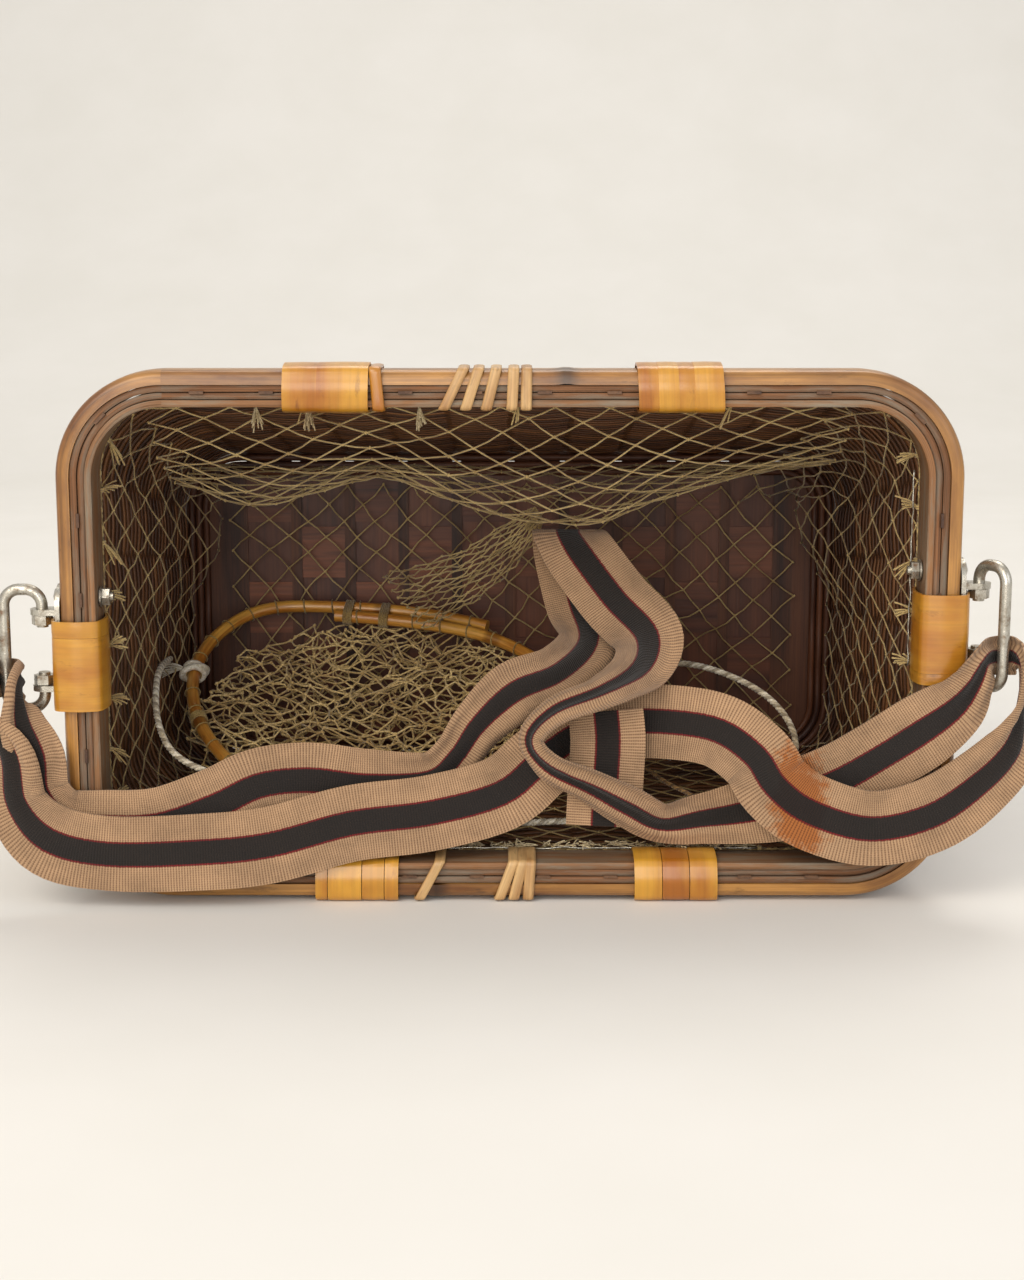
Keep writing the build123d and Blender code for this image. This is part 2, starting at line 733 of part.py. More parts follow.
with BuildPart() as landing_net_bag:
    outlines = []
    for depth, left, right, height in (
        (84, -118, 0, 9), (104, -140, 14, 17), (140, -146, 18, 33), (176, -142, 6, 49),
        (204, -118, -30, 57),
    ):
        floor = wall_at(depth)[1] + net_inset + net_thick / 2 + bag_clear
        outlines.append([
            point(left, depth, floor), point(right, depth, floor),
            point(right - 8, depth, floor + height * 0.7), point((left + right) / 2 + 15, depth, floor + height),
            point(left + 12, depth, floor + height * 0.8),
        ])
    through(outlines)
keep(landing_net_bag.part, "landing_net_bag")

# ======== cords ========
lanyard_line = [
    (-170, 154, 78), (-169, 118, 82), (-166, 84, 78), (-161, 56, 66), (-150, 38, 54), (-122, 31, 46),
    (-86, 33, 36), (-48, 38, 27), (-6, 44, 23), (36, 47, 24), (78, 46, 26), (112, 42, 36),
    (134, 52, 54), (124, 82, 74), (92, 112, 84), (66, 116, 83), (46, 116, 73), (39, 114, 58),
    (38.5, 113, 47.4),
]
brown_cord_line = [
    (38, 108, 45.2), (40, 97, 54), (47, 79, 56), (57, 61, 49), (70, 45, 42), (82, 31, 39.5),
    (85.5, 19.6, 38.7),
]
with BuildPart() as lanyard_cord:
    cord([point(*spot) for spot in lanyard_line], cord_thick / 2)
keep(lanyard_cord.part, "lanyard_cord")

with BuildPart() as brown_cord:
    cord([point(*spot) for spot in brown_cord_line], thin_cord / 2)
keep(brown_cord.part, "brown_cord")

with BuildPart() as lanyard_knot:
    a = in_hoop(*hoop_line[10])
    b = in_hoop(*hoop_line[11])
    knot = Plane(origin=a + (b - a) * 0.35, x_dir=Vector(1, 0, 0), z_dir=(b - a).normalized())
    with BuildSketch(knot):
        Circle(hoop_rod_radius + fit + cord_thick)
        Circle(hoop_rod_radius + fit, mode=Mode.SUBTRACT)
    extrude(amount=cord_thick)
    chamfer(lanyard_knot.edges().group_by(SortBy.LENGTH)[-1], cord_thick * 0.3)
keep(lanyard_knot.part, "lanyard_knot")

# ======== shoulder strap ========
VIEWED = (0, -1, 0.3)
FLAT = (0, -1, 0)
bunched = strap_width * 0.52
bunch_cloth = strap_thick * 1.6
left_z = sleeve_z["left"] - 8.3
right_z = sleeve_z["right"] - 7.3
foremost = strap_thick / 2 - strap_hang
strap_path = {
    # each station: x, depth, height, the way its face looks, and its width (0 when it is full)
    "strap_left_loop": [
        (-203, -5, 66, FLAT, 26), (-207.5, -6, 80, (0.6, -1, 0), 20),
        (-209.5, -4, left_z - 5, (1, -0.4, 0), bunched), (-211.2, 5, left_z, (1, 0, 0), bunched),
        (-211.8, 13, left_z, (1, 0.3, 0), bunched), (-215.5, 17, left_z, (0.3, 1, 0), bunched),
        (-221, 15.8, left_z, (-0.8, 1, 0), bunched), (-222.7, 10.5, left_z, (-1, 0.1, 0), bunched),
        (-222.7, 3, left_z - 4, (-1, 0, 0), bunched), (-222.6, -1, 84, (-1, 0, 0), 20),
        (-213, -8.8, 66, (-0.3, -1, 0), 24),
    ],
    "strap_lower_run": [
        (-210.5, -9, 46, (-0.2, -1, 0), 28), (-197, -11, 31, FLAT, 0), (-172, -11, 25, FLAT, 0),
        (-134, -9, 25, (0, -1, 0.15), 0), (-104, -5, 27, VIEWED, 0), (-69, 1, 35, VIEWED, 0),
        (-35, 7, 38, VIEWED, 0), (-4, 14, 45, VIEWED, 0), (13, 22, 57, VIEWED, 0),
        (29, 30, 67, VIEWED, 0), (49, 35, 72, VIEWED, 0), (71, 32, 73, VIEWED, 0),
        (92, 23, 71, VIEWED, 0), (107, 12, 62, VIEWED, 0), (115, 2, 51, VIEWED, 0),
        (129, -6, 42, (0, -1, 0.15), 0), (154, -10.5, 36, FLAT, 0), (179, foremost, 42, FLAT, 0),
        (199, -10.5, 55, FLAT, 30),
    ],
    "strap_right_loop": [
        (213.6, -7.5, 70, (0.3, -1, 0), 26), (218, -3, 87, (1, -0.4, 0), 20),
        (218.5, -3, right_z - 5, (1, -0.1, 0), bunched), (216, -0.5, right_z, (1, 0.3, 0), bunched),
        (212.5, 3.2, right_z, (0.6, 1, 0), bunched), (206.4, 2.2, right_z, (-0.5, 1, 0), bunched),
        (201, -5.5, right_z - 1, (-0.6, 0.8, 0), bunched), (196, -7, 98, (-0.3, 1, 0), 22),
    ],
    "strap_right_run": [
        (189, -6.5, 88, FLAT, 28), (176, -6.5, 78, FLAT, 0), (160, -5, 67, FLAT, 0),
        (143, 3, 54, (0, -1, 0.15), 0), (122, 12, 42, VIEWED, 0), (103, 16, 36, VIEWED, 28),
        (84, 16, 33, VIEWED, 22),
    ],
    "strap_hanging_loop": [
        (66, 13, 32, (0.2, -1, -0.3), 20), (52, 9, 40, (0.2, -1, -0.5), 22),
        (35, 7, 50, (-0.2, -1, -0.6), 22), (17, 6, 59, (-0.6, -1, -0.6), 20),
        (9, 8, 71, (-1, -0.8, 0.3), 18), (20, 10, 83, (-0.4, -0.8, 1), 18),
        (41, 17, 90, (0, -0.7, 1), 20), (58, 38, 96, (0, -1, 0.6), 26), (62, 58, 107, VIEWED, 0),
        (48, 76, 121, VIEWED, 0), (34, 92, 138, VIEWED, 0), (28, 101, 146, (0, -0.6, 1), 0),
        (27, 106.5, 148.5, (0, 0, 1), 0), (27, 113, 146, (0, 0.6, 1), 0), (28, 113, 136, (0, 1, 0), 0),
        (33, 98, 116, (0, 1, 0), 0), (36, 76, 101, (0, 1, -0.5), 28), (22, 54, 91, (0, 1, -0.3), 26),
        (2, 40, 85, (0, 1, -0.3), 28), (-14, 32, 72, (0, 1, 0), 24), (-24, 29, 58, (0, 1, 0), 22),
    ],
    "strap_left_run": [
        (-36, 25, 48, VIEWED, 26), (-64, 19, 47, VIEWED, 0), (-88, 14, 51, VIEWED, 0),
        (-109, 8, 50, VIEWED, 0), (-127, 1, 43, (0, -1, 0.15), 0), (-150, -4, 36, FLAT, 0),
        (-172, -5, 35, FLAT, 0), (-192, -5, 38, FLAT, 30), (-202, -5, 50, FLAT, 28),
    ],
}
strap_tail_line = [
    (42, 23, 80, VIEWED, 0), (43, 20.5, 67, VIEWED, 0), (42, 17.5, 49, VIEWED, 0),
    (41, 15, 30, VIEWED, 0),
]


def ribbon_frames(stations, closed):
    """Corner points of the strap's section at every station of its line."""
    places = [point(*station[:3]) for station in stations]
    count = len(stations)
    frames = []
    side_before = None
    for i, (_, _, _, face, width) in enumerate(stations):
        before = places[i - 1] if closed or i else places[0]
        after = places[(i + 1) % count] if closed or i < count - 1 else places[-1]
        along = (after - before).normalized()
        look = Vector(*face)
        look = (look - along * look.dot(along)).normalized()
        side = along.cross(look)
        if side_before is not None and side.dot(side_before) < 0:
            side = side * -1
            look = look * -1
        side_before = side
        half = (width or strap_width) / 2
        cloth = bunch_cloth if width and width < 20 else strap_thick
        corners = []
        for a, b in ((-1, -1), (1, -1), (1, 1), (-1, 1)):
            corners.append(places[i] + side * (a * half) + look * (b * cloth / 2))
        frames.append(corners)
    return frames


whole = [station for run in strap_path.values() for station in run]
frames = ribbon_frames(whole, True)
first = 0
for name, run in strap_path.items():
    part_frames = frames[first:first + len(run)]
    closing = frames[(first + len(run)) % len(frames)]
    if part_frames[-1][0].sub(closing[0]).length > part_frames[-1][0].sub(closing[2]).length:
        closing = closing[2:] + closing[:2]
    with BuildPart() as strap:
        through(part_frames + [closing])
    keep(strap.part, name)
    first += len(run)

with BuildPart() as strap_tail:
    through(ribbon_frames(strap_tail_line, False))
keep(strap_tail.part, "strap_tail")
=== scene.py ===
"""Split-bamboo fishing creel on its back wall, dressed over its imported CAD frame."""

from math import cos, pi, radians, sin, sqrt, tan
from random import Random

import bmesh
import bpy
from bpy.props import FloatProperty, FloatVectorProperty, IntProperty, PointerProperty
from mathutils import Matrix, Vector, noise
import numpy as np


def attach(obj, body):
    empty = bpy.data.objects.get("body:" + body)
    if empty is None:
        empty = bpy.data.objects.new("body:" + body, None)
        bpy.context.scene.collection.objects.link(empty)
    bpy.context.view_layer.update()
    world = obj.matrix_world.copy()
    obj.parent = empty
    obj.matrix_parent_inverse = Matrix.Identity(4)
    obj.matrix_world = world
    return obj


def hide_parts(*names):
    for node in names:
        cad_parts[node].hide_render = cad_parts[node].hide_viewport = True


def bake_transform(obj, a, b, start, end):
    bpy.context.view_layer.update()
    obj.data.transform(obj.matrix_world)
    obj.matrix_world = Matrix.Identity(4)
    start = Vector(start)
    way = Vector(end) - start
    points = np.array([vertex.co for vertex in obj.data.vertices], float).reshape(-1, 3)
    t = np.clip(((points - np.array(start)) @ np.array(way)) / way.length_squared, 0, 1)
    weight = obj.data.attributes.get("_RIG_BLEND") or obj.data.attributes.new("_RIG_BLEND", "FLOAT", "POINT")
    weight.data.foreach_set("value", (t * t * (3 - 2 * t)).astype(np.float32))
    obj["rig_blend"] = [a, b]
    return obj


bl_info = {
    "name": "Bamboo fishing creel",
    "version": (1, 0, 0),
    "blender": (4, 5, 0),
    "location": "3D View > Sidebar > Creel",
    "description": "Dresses the frame of a bamboo fishing creel with its weave, net, cords and strap",
    "category": "Object",
}

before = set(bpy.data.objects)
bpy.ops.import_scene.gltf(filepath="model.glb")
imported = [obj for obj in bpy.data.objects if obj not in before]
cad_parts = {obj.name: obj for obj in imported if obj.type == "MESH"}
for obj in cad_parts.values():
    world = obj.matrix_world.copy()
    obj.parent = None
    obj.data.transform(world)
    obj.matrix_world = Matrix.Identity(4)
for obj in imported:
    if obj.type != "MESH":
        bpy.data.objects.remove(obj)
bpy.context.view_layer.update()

# ---- sizes of the frame, in millimetres; depths run from the front of the rim to the base ----
MM = 0.001
MOUTH_Y = -113.5  # the rim's front
HALF_MOUTH = 191.5
RIM_LOW = 2.0
RIM_HIGH = 230.0
RIM_CORNER = 46.0
RIM_DEPTH = 22.0
BAND = 15.4  # thickness of the rim's hoops and laths together
STAKE_INSET = 9.2  # from the rim's outside to the middle of the stakes
DEPTH = 240.0
BASE_HALF = 172.3
BASE_LOW = 6.75
BASE_TOP = 172.8
BASE_CORNER = 30.0
WEAVE_DEPTHS = (28.0, 236.0)  # of the first and the last weaver
WEAVER_THICK = 1.25
WEAVER_SWING = 1.25  # how far a weaver goes in and out at the stakes
BASE_FACE = 235.5
RIB_PITCH = 28.47  # from one slit of the base to the next
END_STRIP_X = 154.3
END_SLEEVES = {"left": 104.55, "right": 116.0}
SLEEVE_BEND = 4.2  # radius that stiff cane takes round the rim's edges
HEAD_ROPE_INSET = 13.8
HEAD_ROPE_DEPTH = 25.7
HEAD_ROPE_TIES = 46
STRAP_WIDTH = 33.0
RUST_SPOT = Vector((124.5, MOUTH_Y - 4.0, 46.0))

# ---- width and length of each net laid flat, in millimetres ----
SWAG_FLAT = (312, 225)
FLOOR_FLAT = (330, 205)
BACK_FLAT = (300, 138)
BUNCH_FLAT = (60, 100)
BAG_FLAT = (190, 168)
LINER_GIRTH = 1100  # round the whole liner
LINER_DEPTHS = (27.0, 229.0)


def linear(hex_colour):
    """Turn an sRGB hex colour into the linear colour that shaders read."""
    parts = [int(hex_colour[i:i + 2], 16) / 255 for i in (1, 3, 5)]
    return [c / 12.92 if c <= 0.04045 else ((c + 0.055) / 1.055) ** 2.4 for c in parts] + [1.0]


class CreelSizes(bpy.types.PropertyGroup):
    """Sizes of the woven and knotted pieces that a user may change."""

    weaver_pitch: FloatProperty(
        name="Weaver pitch", description="Distance between neighbouring fine weavers",
        default=0.00376, min=0.002, max=0.01, unit="LENGTH")
    weaver_width: FloatProperty(
        name="Weaver width", description="Width of a fine split-bamboo weaver",
        default=0.0041, min=0.001, max=0.01, unit="LENGTH")
    twine: FloatProperty(
        name="Net twine", description="Thickness of the net's twine",
        default=0.0008, min=0.0004, max=0.002, unit="LENGTH")
    mesh_bar: FloatProperty(
        name="Mesh bar", description="Distance from knot to knot in the net",
        default=0.015, min=0.005, max=0.03, unit="LENGTH")
    webbing: FloatProperty(
        name="Webbing", description="Thickness of the shoulder strap's webbing",
        default=0.0017, min=0.001, max=0.004, unit="LENGTH")
    stripe: FloatProperty(
        name="Stripe", description="Width of the strap's dark stripe",
        default=0.0098, min=0.002, max=0.02, unit="LENGTH")
    seed: IntProperty(
        name="Seed", description="Start of the small irregularities", default=7, min=0, max=999)


class CreelColours(bpy.types.PropertyGroup):
    """Main colours of the creel's finishes."""

    cane: FloatVectorProperty(
        name="Cane", description="Skin of the cane sleeves", subtype="COLOR",
        size=4, min=0, max=1, default=linear("#c8922f"))
    weave: FloatVectorProperty(
        name="Weave", description="Split bamboo of the walls", subtype="COLOR",
        size=4, min=0, max=1, default=linear("#8a5a30"))
    net: FloatVectorProperty(
        name="Net", description="Twine of the net liner", subtype="COLOR",
        size=4, min=0, max=1, default=linear("#c9ae72"))
    strap: FloatVectorProperty(
        name="Strap", description="Ground of the shoulder strap", subtype="COLOR",
        size=4, min=0, max=1, default=linear("#ae8c6b"))


# ---------------------------------------------------------------- materials


def add(tree, kind, links=None, ramp=None, **settings):
    """Add a node with its settings, its input values or links, and its ramp's stops."""
    made = tree.nodes.new(kind)
    for name, value in settings.items():
        setattr(made, name, value)
    stops = made.color_ramp.elements if ramp else []
    for place, colour in (ramp or [])[2:]:
        stops.new(place)
    for stop, (place, colour) in zip(stops, sorted(ramp or [], key=lambda pair: pair[0])):
        stop.position = place
        stop.color = linear(colour) if isinstance(colour, str) else colour
    for name, value in (links or {}).items():
        if isinstance(value, bpy.types.NodeSocket):
            tree.links.new(value, made.inputs[name])
        else:
            made.inputs[name].default_value = value
    return made


def surface(name, colour, relief=None, height=0.0002, **values):
    """Start a finish: `colour` and `relief` get its tree and return the sockets that they make."""
    made = bpy.data.materials.get(name)
    if made:
        return made
    made = bpy.data.materials.new(name)
    made.use_nodes = True
    tree = made.node_tree
    shader = tree.nodes["Principled BSDF"]
    for key, value in values.items():
        shader.inputs[key.replace("_", " ")].default_value = value
    tree.links.new(colour(tree), shader.inputs["Base Color"])
    if relief:
        bump = add(tree, "ShaderNodeBump", {"Height": relief(tree), "Distance": height})
        tree.links.new(bump.outputs["Normal"], shader.inputs["Normal"])
    return made


def streaks(tree, space, scale, detail=5.0, rough=0.6):
    """Noise drawn out along the fibres: `scale` is the number of waves in a metre on each axis."""
    source = add(tree, "ShaderNodeTexCoord")
    drawn = add(tree, "ShaderNodeMapping", {"Vector": source.outputs[space], "Scale": scale})
    return add(tree, "ShaderNodeTexNoise", {
        "Vector": drawn.outputs["Vector"], "Scale": 1.0, "Detail": detail, "Roughness": rough,
    }).outputs["Fac"]


def stained(tree, colour, pattern, amount, ramp):
    """Darken or tint a colour where a pattern says."""
    tint = add(tree, "ShaderNodeValToRGB", {"Fac": pattern}, ramp)
    return add(tree, "ShaderNodeMix", {0: amount, 6: colour, 7: tint.outputs["Color"]},
               data_type="RGBA", blend_type="MULTIPLY").outputs[2]


def toned(tree, colour, dark):
    """Tint each strip by the tone that its mesh carries."""
    tone = add(tree, "ShaderNodeAttribute", attribute_name="tone")
    return stained(tree, colour, tone.outputs["Fac"], 1.0, [(0.0, dark), (1.0, "#ffffff")])


def shade(colour, amount):
    """The same colour, lighter or darker."""
    return [min(1.0, c * amount) for c in colour[:3]] + [1.0]


def bamboo(name, base, space, fine, wide, stain, rough, coat=0.0, contrast=1.0, dark="#8a7566",
           height=0.00015, dirt="#2a1609"):
    """Split bamboo or cane: fibre bundles 1 mm apart run along it, with water stains and specks."""

    def colour(tree):
        # Dark fibre bundles between paler pith make the fine stripes that run along every strip.
        out = add(tree, "ShaderNodeValToRGB", {"Fac": streaks(tree, space, fine, 6.0, 0.65)}, [
            (0.30, shade(base, 1 - 0.45 * contrast)), (0.52, base),
            (0.74, shade(base, 1 + 0.35 * contrast))]).outputs["Color"]
        out = stained(tree, out, streaks(tree, space, wide, 4.0, 0.55), 0.8,
                      [(0.36, stain), (0.60, "#ffffff")])
        # Handling and damp leave small dark specks and scuffs.
        out = stained(tree, out, streaks(tree, space, [c * 3.1 for c in wide], 9.0, 0.75), 0.6,
                      [(0.57, "#ffffff"), (0.70, dirt)])
        return toned(tree, out, dark) if space == "UV" else out

    return surface(name, colour, lambda tree: streaks(tree, space, fine, 4.0, 0.6), height,
                   Roughness=rough, Coat_Weight=coat, Coat_Roughness=0.28)


def weathered_edge(name, base, grey, rough=0.75):
    """Cut edges of bent laths: open fibres, gone grey-brown where hands and water wore them."""

    def colour(tree):
        out = add(tree, "ShaderNodeValToRGB", {"Fac": streaks(tree, "UV", (9.0, 1500.0, 1.0), 6.0)}, [
            (0.30, shade(base, 0.45)), (0.50, base), (0.70, shade(base, 1.5))]).outputs["Color"]
        worn = streaks(tree, "UV", (24.0, 210.0, 1.0), 9.0, 0.7)
        worn = add(tree, "ShaderNodeValToRGB", {"Fac": worn}, [(0.44, "#000000"), (0.64, "#ffffff")])
        out = add(tree, "ShaderNodeMix", {0: worn.outputs["Color"], 6: out, 7: linear(grey)},
                  data_type="RGBA").outputs[2]
        return toned(tree, out, "#4a2f1c")

    return surface(name, colour, lambda tree: streaks(tree, "UV", (12.0, 1300.0, 1.0)), 0.0003,
                   Roughness=rough)


def twine(name, dark, light, pitch, rough=0.9):
    """Twisted twine: its lay shows as fine light and dark flecks, `pitch` millimetres apart."""

    def flecks(tree):
        return streaks(tree, "Object", [1000 / pitch] * 3, 3.0, 0.7)

    def colour(tree):
        out = add(tree, "ShaderNodeValToRGB", {"Fac": flecks(tree)},
                  [(0.34, dark), (0.62, light)]).outputs["Color"]
        out = stained(tree, out, streaks(tree, "Object", [40.0] * 3), 0.7,
                      [(0.38, "#a89270"), (0.60, "#ffffff")])
        return toned(tree, out, "#6e5c40")

    return surface(name, colour, flecks, 0.0003, Roughness=rough, Sheen_Weight=0.25,
                   Sheen_Roughness=0.5)


def steel():
    """Mild steel strip and rod, once bright, dulled and with brown rust in its pits."""

    def rust(tree):
        return streaks(tree, "Object", [170.0] * 3, 9.0, 0.72)

    def colour(tree):
        return add(tree, "ShaderNodeValToRGB", {"Fac": rust(tree)}, [
            (0.46, "#b9b5aa"), (0.58, "#989184"), (0.68, "#7a5a40"), (0.80, "#4a3020"),
        ]).outputs["Color"]

    made = surface("mild_steel_rusted", colour,
                   lambda tree: streaks(tree, "Object", [800.0] * 3, 6.0, 0.7), 0.0001, Metallic=0.9)
    tree = made.node_tree
    socket = tree.nodes["Principled BSDF"].inputs["Roughness"]
    if not socket.is_linked:
        rough = add(tree, "ShaderNodeMapRange", {
            "Value": rust(tree), "From Min": 0.45, "From Max": 0.75, "To Min": 0.26, "To Max": 0.8})
        tree.links.new(rough.outputs["Result"], socket)
    return made


def webbing(base, stripe):
    """Cotton webbing: cross ribs 1.2 mm apart, a dark stripe with thin red edges down its middle."""
    edge = stripe / (STRAP_WIDTH * MM)

    def ribs(tree):
        where = add(tree, "ShaderNodeSeparateXYZ", {
            0: add(tree, "ShaderNodeTexCoord").outputs["UV"]})
        waves = []
        for axis, pitch in (("X", 1.18 * MM), ("Y", 1.0 * MM)):
            turns = add(tree, "ShaderNodeMath", {0: where.outputs[axis], 1: 2 * pi / pitch},
                        operation="MULTIPLY")
            crest = add(tree, "ShaderNodeMath", {0: turns.outputs[0]}, operation="SINE")
            waves.append(crest.outputs[0])
        # Each rib is a weft thread under the warp: its crown catches the light, its groove is dark.
        both = add(tree, "ShaderNodeMath", {0: waves[1], 1: 0.35, 2: waves[0]},
                   operation="MULTIPLY_ADD")
        return add(tree, "ShaderNodeMapRange", {
            "Value": both.outputs[0], "From Min": -1.35, "From Max": 1.35}).outputs["Result"]

    def colour(tree):
        where = add(tree, "ShaderNodeSeparateXYZ", {
            0: add(tree, "ShaderNodeTexCoord").outputs["UV"]})
        wander = add(tree, "ShaderNodeMath", {
            0: streaks(tree, "UV", (700.0, 2.0, 1.0), 2.0), 1: 0.0009, 2: where.outputs["Y"]},
            operation="MULTIPLY_ADD")
        off = add(tree, "ShaderNodeMath", {0: wander.outputs[0], 1: 0.00045}, operation="SUBTRACT")
        off = add(tree, "ShaderNodeMath", {0: off.outputs[0]}, operation="ABSOLUTE")
        share = add(tree, "ShaderNodeMath", {0: off.outputs[0], 1: STRAP_WIDTH * MM / 2},
                    operation="DIVIDE")
        worn = streaks(tree, "UV", (34.0, 50.0, 1.0), 7.0, 0.7)
        out = add(tree, "ShaderNodeValToRGB", {"Fac": worn}, [
            (0.32, shade(base, 0.72)), (0.52, base), (0.72, shade(base, 1.25))]).outputs["Color"]
        # Rust has soaked into the ground cloth at one bend.
        place = add(tree, "ShaderNodeTexCoord").outputs["Object"]
        away = add(tree, "ShaderNodeVectorMath", {0: place, 1: RUST_SPOT * MM}, operation="SUBTRACT")
        away = add(tree, "ShaderNodeVectorMath", {0: away.outputs[0], 1: (1.5, 0.6, 0.75)},
                   operation="MULTIPLY")
        away = add(tree, "ShaderNodeVectorMath", {0: away.outputs[0]}, operation="LENGTH")
        near = add(tree, "ShaderNodeMath", {
            0: streaks(tree, "Object", [110.0] * 3, 8.0, 0.8), 1: 0.05, 2: away.outputs["Value"]},
            operation="MULTIPLY_ADD")
        soaked = add(tree, "ShaderNodeMapRange", {
            "Value": near.outputs[0], "From Min": 0.046, "From Max": 0.038, "To Max": 0.92})
        out = add(tree, "ShaderNodeMix", {
            0: soaked.outputs["Result"], 6: out, 7: linear("#9e5a20")}, data_type="RGBA").outputs[2]
        # The dyed warp has faded unevenly: a crimson thread edges a stripe of blue-black.
        out = stained(tree, out, share.outputs[0], 1.0, [
            (0.0, "#2e2c30"), (edge - 0.012, "#2e2c30"), (edge + 0.002, "#a02038"),
            (edge + 0.035, "#a83848"), (edge + 0.055, "#ffffff")])
        return stained(tree, out, ribs(tree), 0.8, [(0.08, "#94867a"), (0.58, "#ffffff")])

    return surface("striped_cotton_webbing", colour, ribs, 0.0003, Roughness=0.94,
                   Sheen_Weight=0.12, Sheen_Roughness=0.5)


# ---------------------------------------------------------------- mesh helpers


def settle(name, work, material, replaced=(), slot=None, body="creel", sharp=None):
    """Turn a bmesh into a piece that rides on a body and stands for CAD nodes."""
    mesh = bpy.data.meshes.new(name)
    bmesh.ops.recalc_face_normals(work, faces=work.faces)
    work.to_mesh(mesh)
    work.free()
    mesh.shade_smooth()
    if sharp:
        mesh.set_sharp_from_angle(angle=radians(sharp))
    mesh.materials.append(material)
    made = bpy.data.objects.new(name, mesh)
    bpy.context.scene.collection.objects.link(made)
    if replaced:
        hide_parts(*replaced)
    if body:
        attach(made, body)
    return made


def refinish(material, *nodes):
    """Give carried-over CAD nodes a finish."""
    for name in nodes:
        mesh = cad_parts[name].data
        mesh.materials.clear()
        mesh.materials.append(material)


def sweep(work, places, section, tone=1.0, closed=False, start=0.0, marks=None):
    """Carry a closed section along frames of (middle, sideways, outwards), all in mm.

    `section` is a list of (sideways, outwards) points, or a list with one such list for each
    frame; `tone` is a number or gives one for each frame. The UV map runs along the sweep and
    round its section, in metres, and `marks` sets where it stands round the section.
    """
    sections = section if isinstance(section[0], list) else None
    first = sections[0] if sections else section
    girth = [0.0]
    for a, b in zip(first, first[1:] + first[:1]):
        girth.append(girth[-1] + (Vector(b) - Vector(a)).length)
    if closed:
        places = places + places[:1]
        sections = sections and sections + sections[:1]
    run = [0.0]
    for a, b in zip(places, places[1:]):
        run.append(run[-1] + (b[0] - a[0]).length)
    rows, cols = len(places), len(first) + 1
    layer = work.loops.layers.uv.verify()
    shading = work.verts.layers.float.get("tone") or work.verts.layers.float.new("tone")
    grid = bmesh.ops.create_grid(work, x_segments=rows - 1, y_segments=cols - 1, size=1.0)["verts"]
    spots = {}
    for vert in grid:
        i = round((vert.co.x + 1) / 2 * (rows - 1))
        j = round((vert.co.y + 1) / 2 * (cols - 1))
        spots[vert] = (run[i] * MM + start, marks[j] if marks else girth[j] * MM + start * 3.7)
        middle, side, out = places[i]
        a, b = (sections[i] if sections else section)[j % (cols - 1)]
        vert.co = (middle + side * a + out * b) * MM
        vert[shading] = tone(i) if callable(tone) else tone
    for face in {face for vert in grid for face in vert.link_faces}:
        for loop in face.loops:
            loop[layer].uv = spots[loop.vert]
    bmesh.ops.remove_doubles(work, verts=grid, dist=1e-6)
    if not closed:
        edges = {edge for vert in grid if vert.is_valid
                 for edge in vert.link_edges if edge.is_boundary}
        bmesh.ops.holes_fill(work, edges=list(edges), sides=0)


def disc(radius, sides, squeeze=1.0):
    """Section points of a round rod."""
    return [(radius * cos(2 * pi * k / sides), radius * squeeze * sin(2 * pi * k / sides))
            for k in range(sides)]


def lath(width, thick, crown=0.3):
    """Section points of a split strip with a crowned outer face and eased edges."""
    w, t = width / 2, thick / 2
    return [(-w, -t), (-w, t * (1 - 2 * crown)), (-w * 0.62, t * 0.85), (0, t), (w * 0.62, t * 0.85),
            (w, t * (1 - 2 * crown)), (w, -t)]


def carried(points, up=Vector((0, 0, 1)), closed=False):
    """Frames along a line whose section doesn't twist: (point, sideways, outwards)."""
    made = []
    side = None
    for i, here in enumerate(points):
        before = points[i - 1] if i or closed else here
        after = points[(i + 1) % len(points)] if i < len(points) - 1 or closed else here
        along = (after - before).normalized()
        side = along.cross(up) if side is None else side
        if side.length < 1e-4:
            side = along.orthogonal()
        side = (side - along * side.dot(along)).normalized()
        made.append((here, side, side.cross(along)))
    return made


def spaced(points, step):
    """The same line with points at even distances."""
    run = [0.0]
    for a, b in zip(points, points[1:]):
        run.append(run[-1] + (b - a).length)
    count = max(2, round(run[-1] / step))
    made, k = [], 0
    for i in range(count + 1):
        goal = run[-1] * i / count
        while k < len(run) - 2 and run[k + 1] < goal:
            k += 1
        share = (goal - run[k]) / max(1e-9, run[k + 1] - run[k])
        made.append(points[k].lerp(points[k + 1], share))
    return made


def route(name, points):
    """Smooth NURBS line through the bends of a route in mm: its points in mm."""
    curve = bpy.data.curves.new(name, "CURVE")
    curve.dimensions = "3D"
    spline = curve.splines.new("NURBS")
    spline.points.add(len(points) - 1)
    for control, place in zip(spline.points, points):
        control.co = (*(Vector(place) * MM), 1.0)
    spline.order_u = 3
    spline.use_endpoint_u = True
    spline.resolution_u = 14
    laid = bpy.data.objects.new(name, curve)
    bpy.context.scene.collection.objects.link(laid)
    bpy.context.view_layer.update()
    mesh = bpy.data.meshes.new_from_object(laid)
    line = [vert.co / MM for vert in mesh.vertices]
    bpy.data.meshes.remove(mesh)
    bpy.data.objects.remove(laid)
    return line


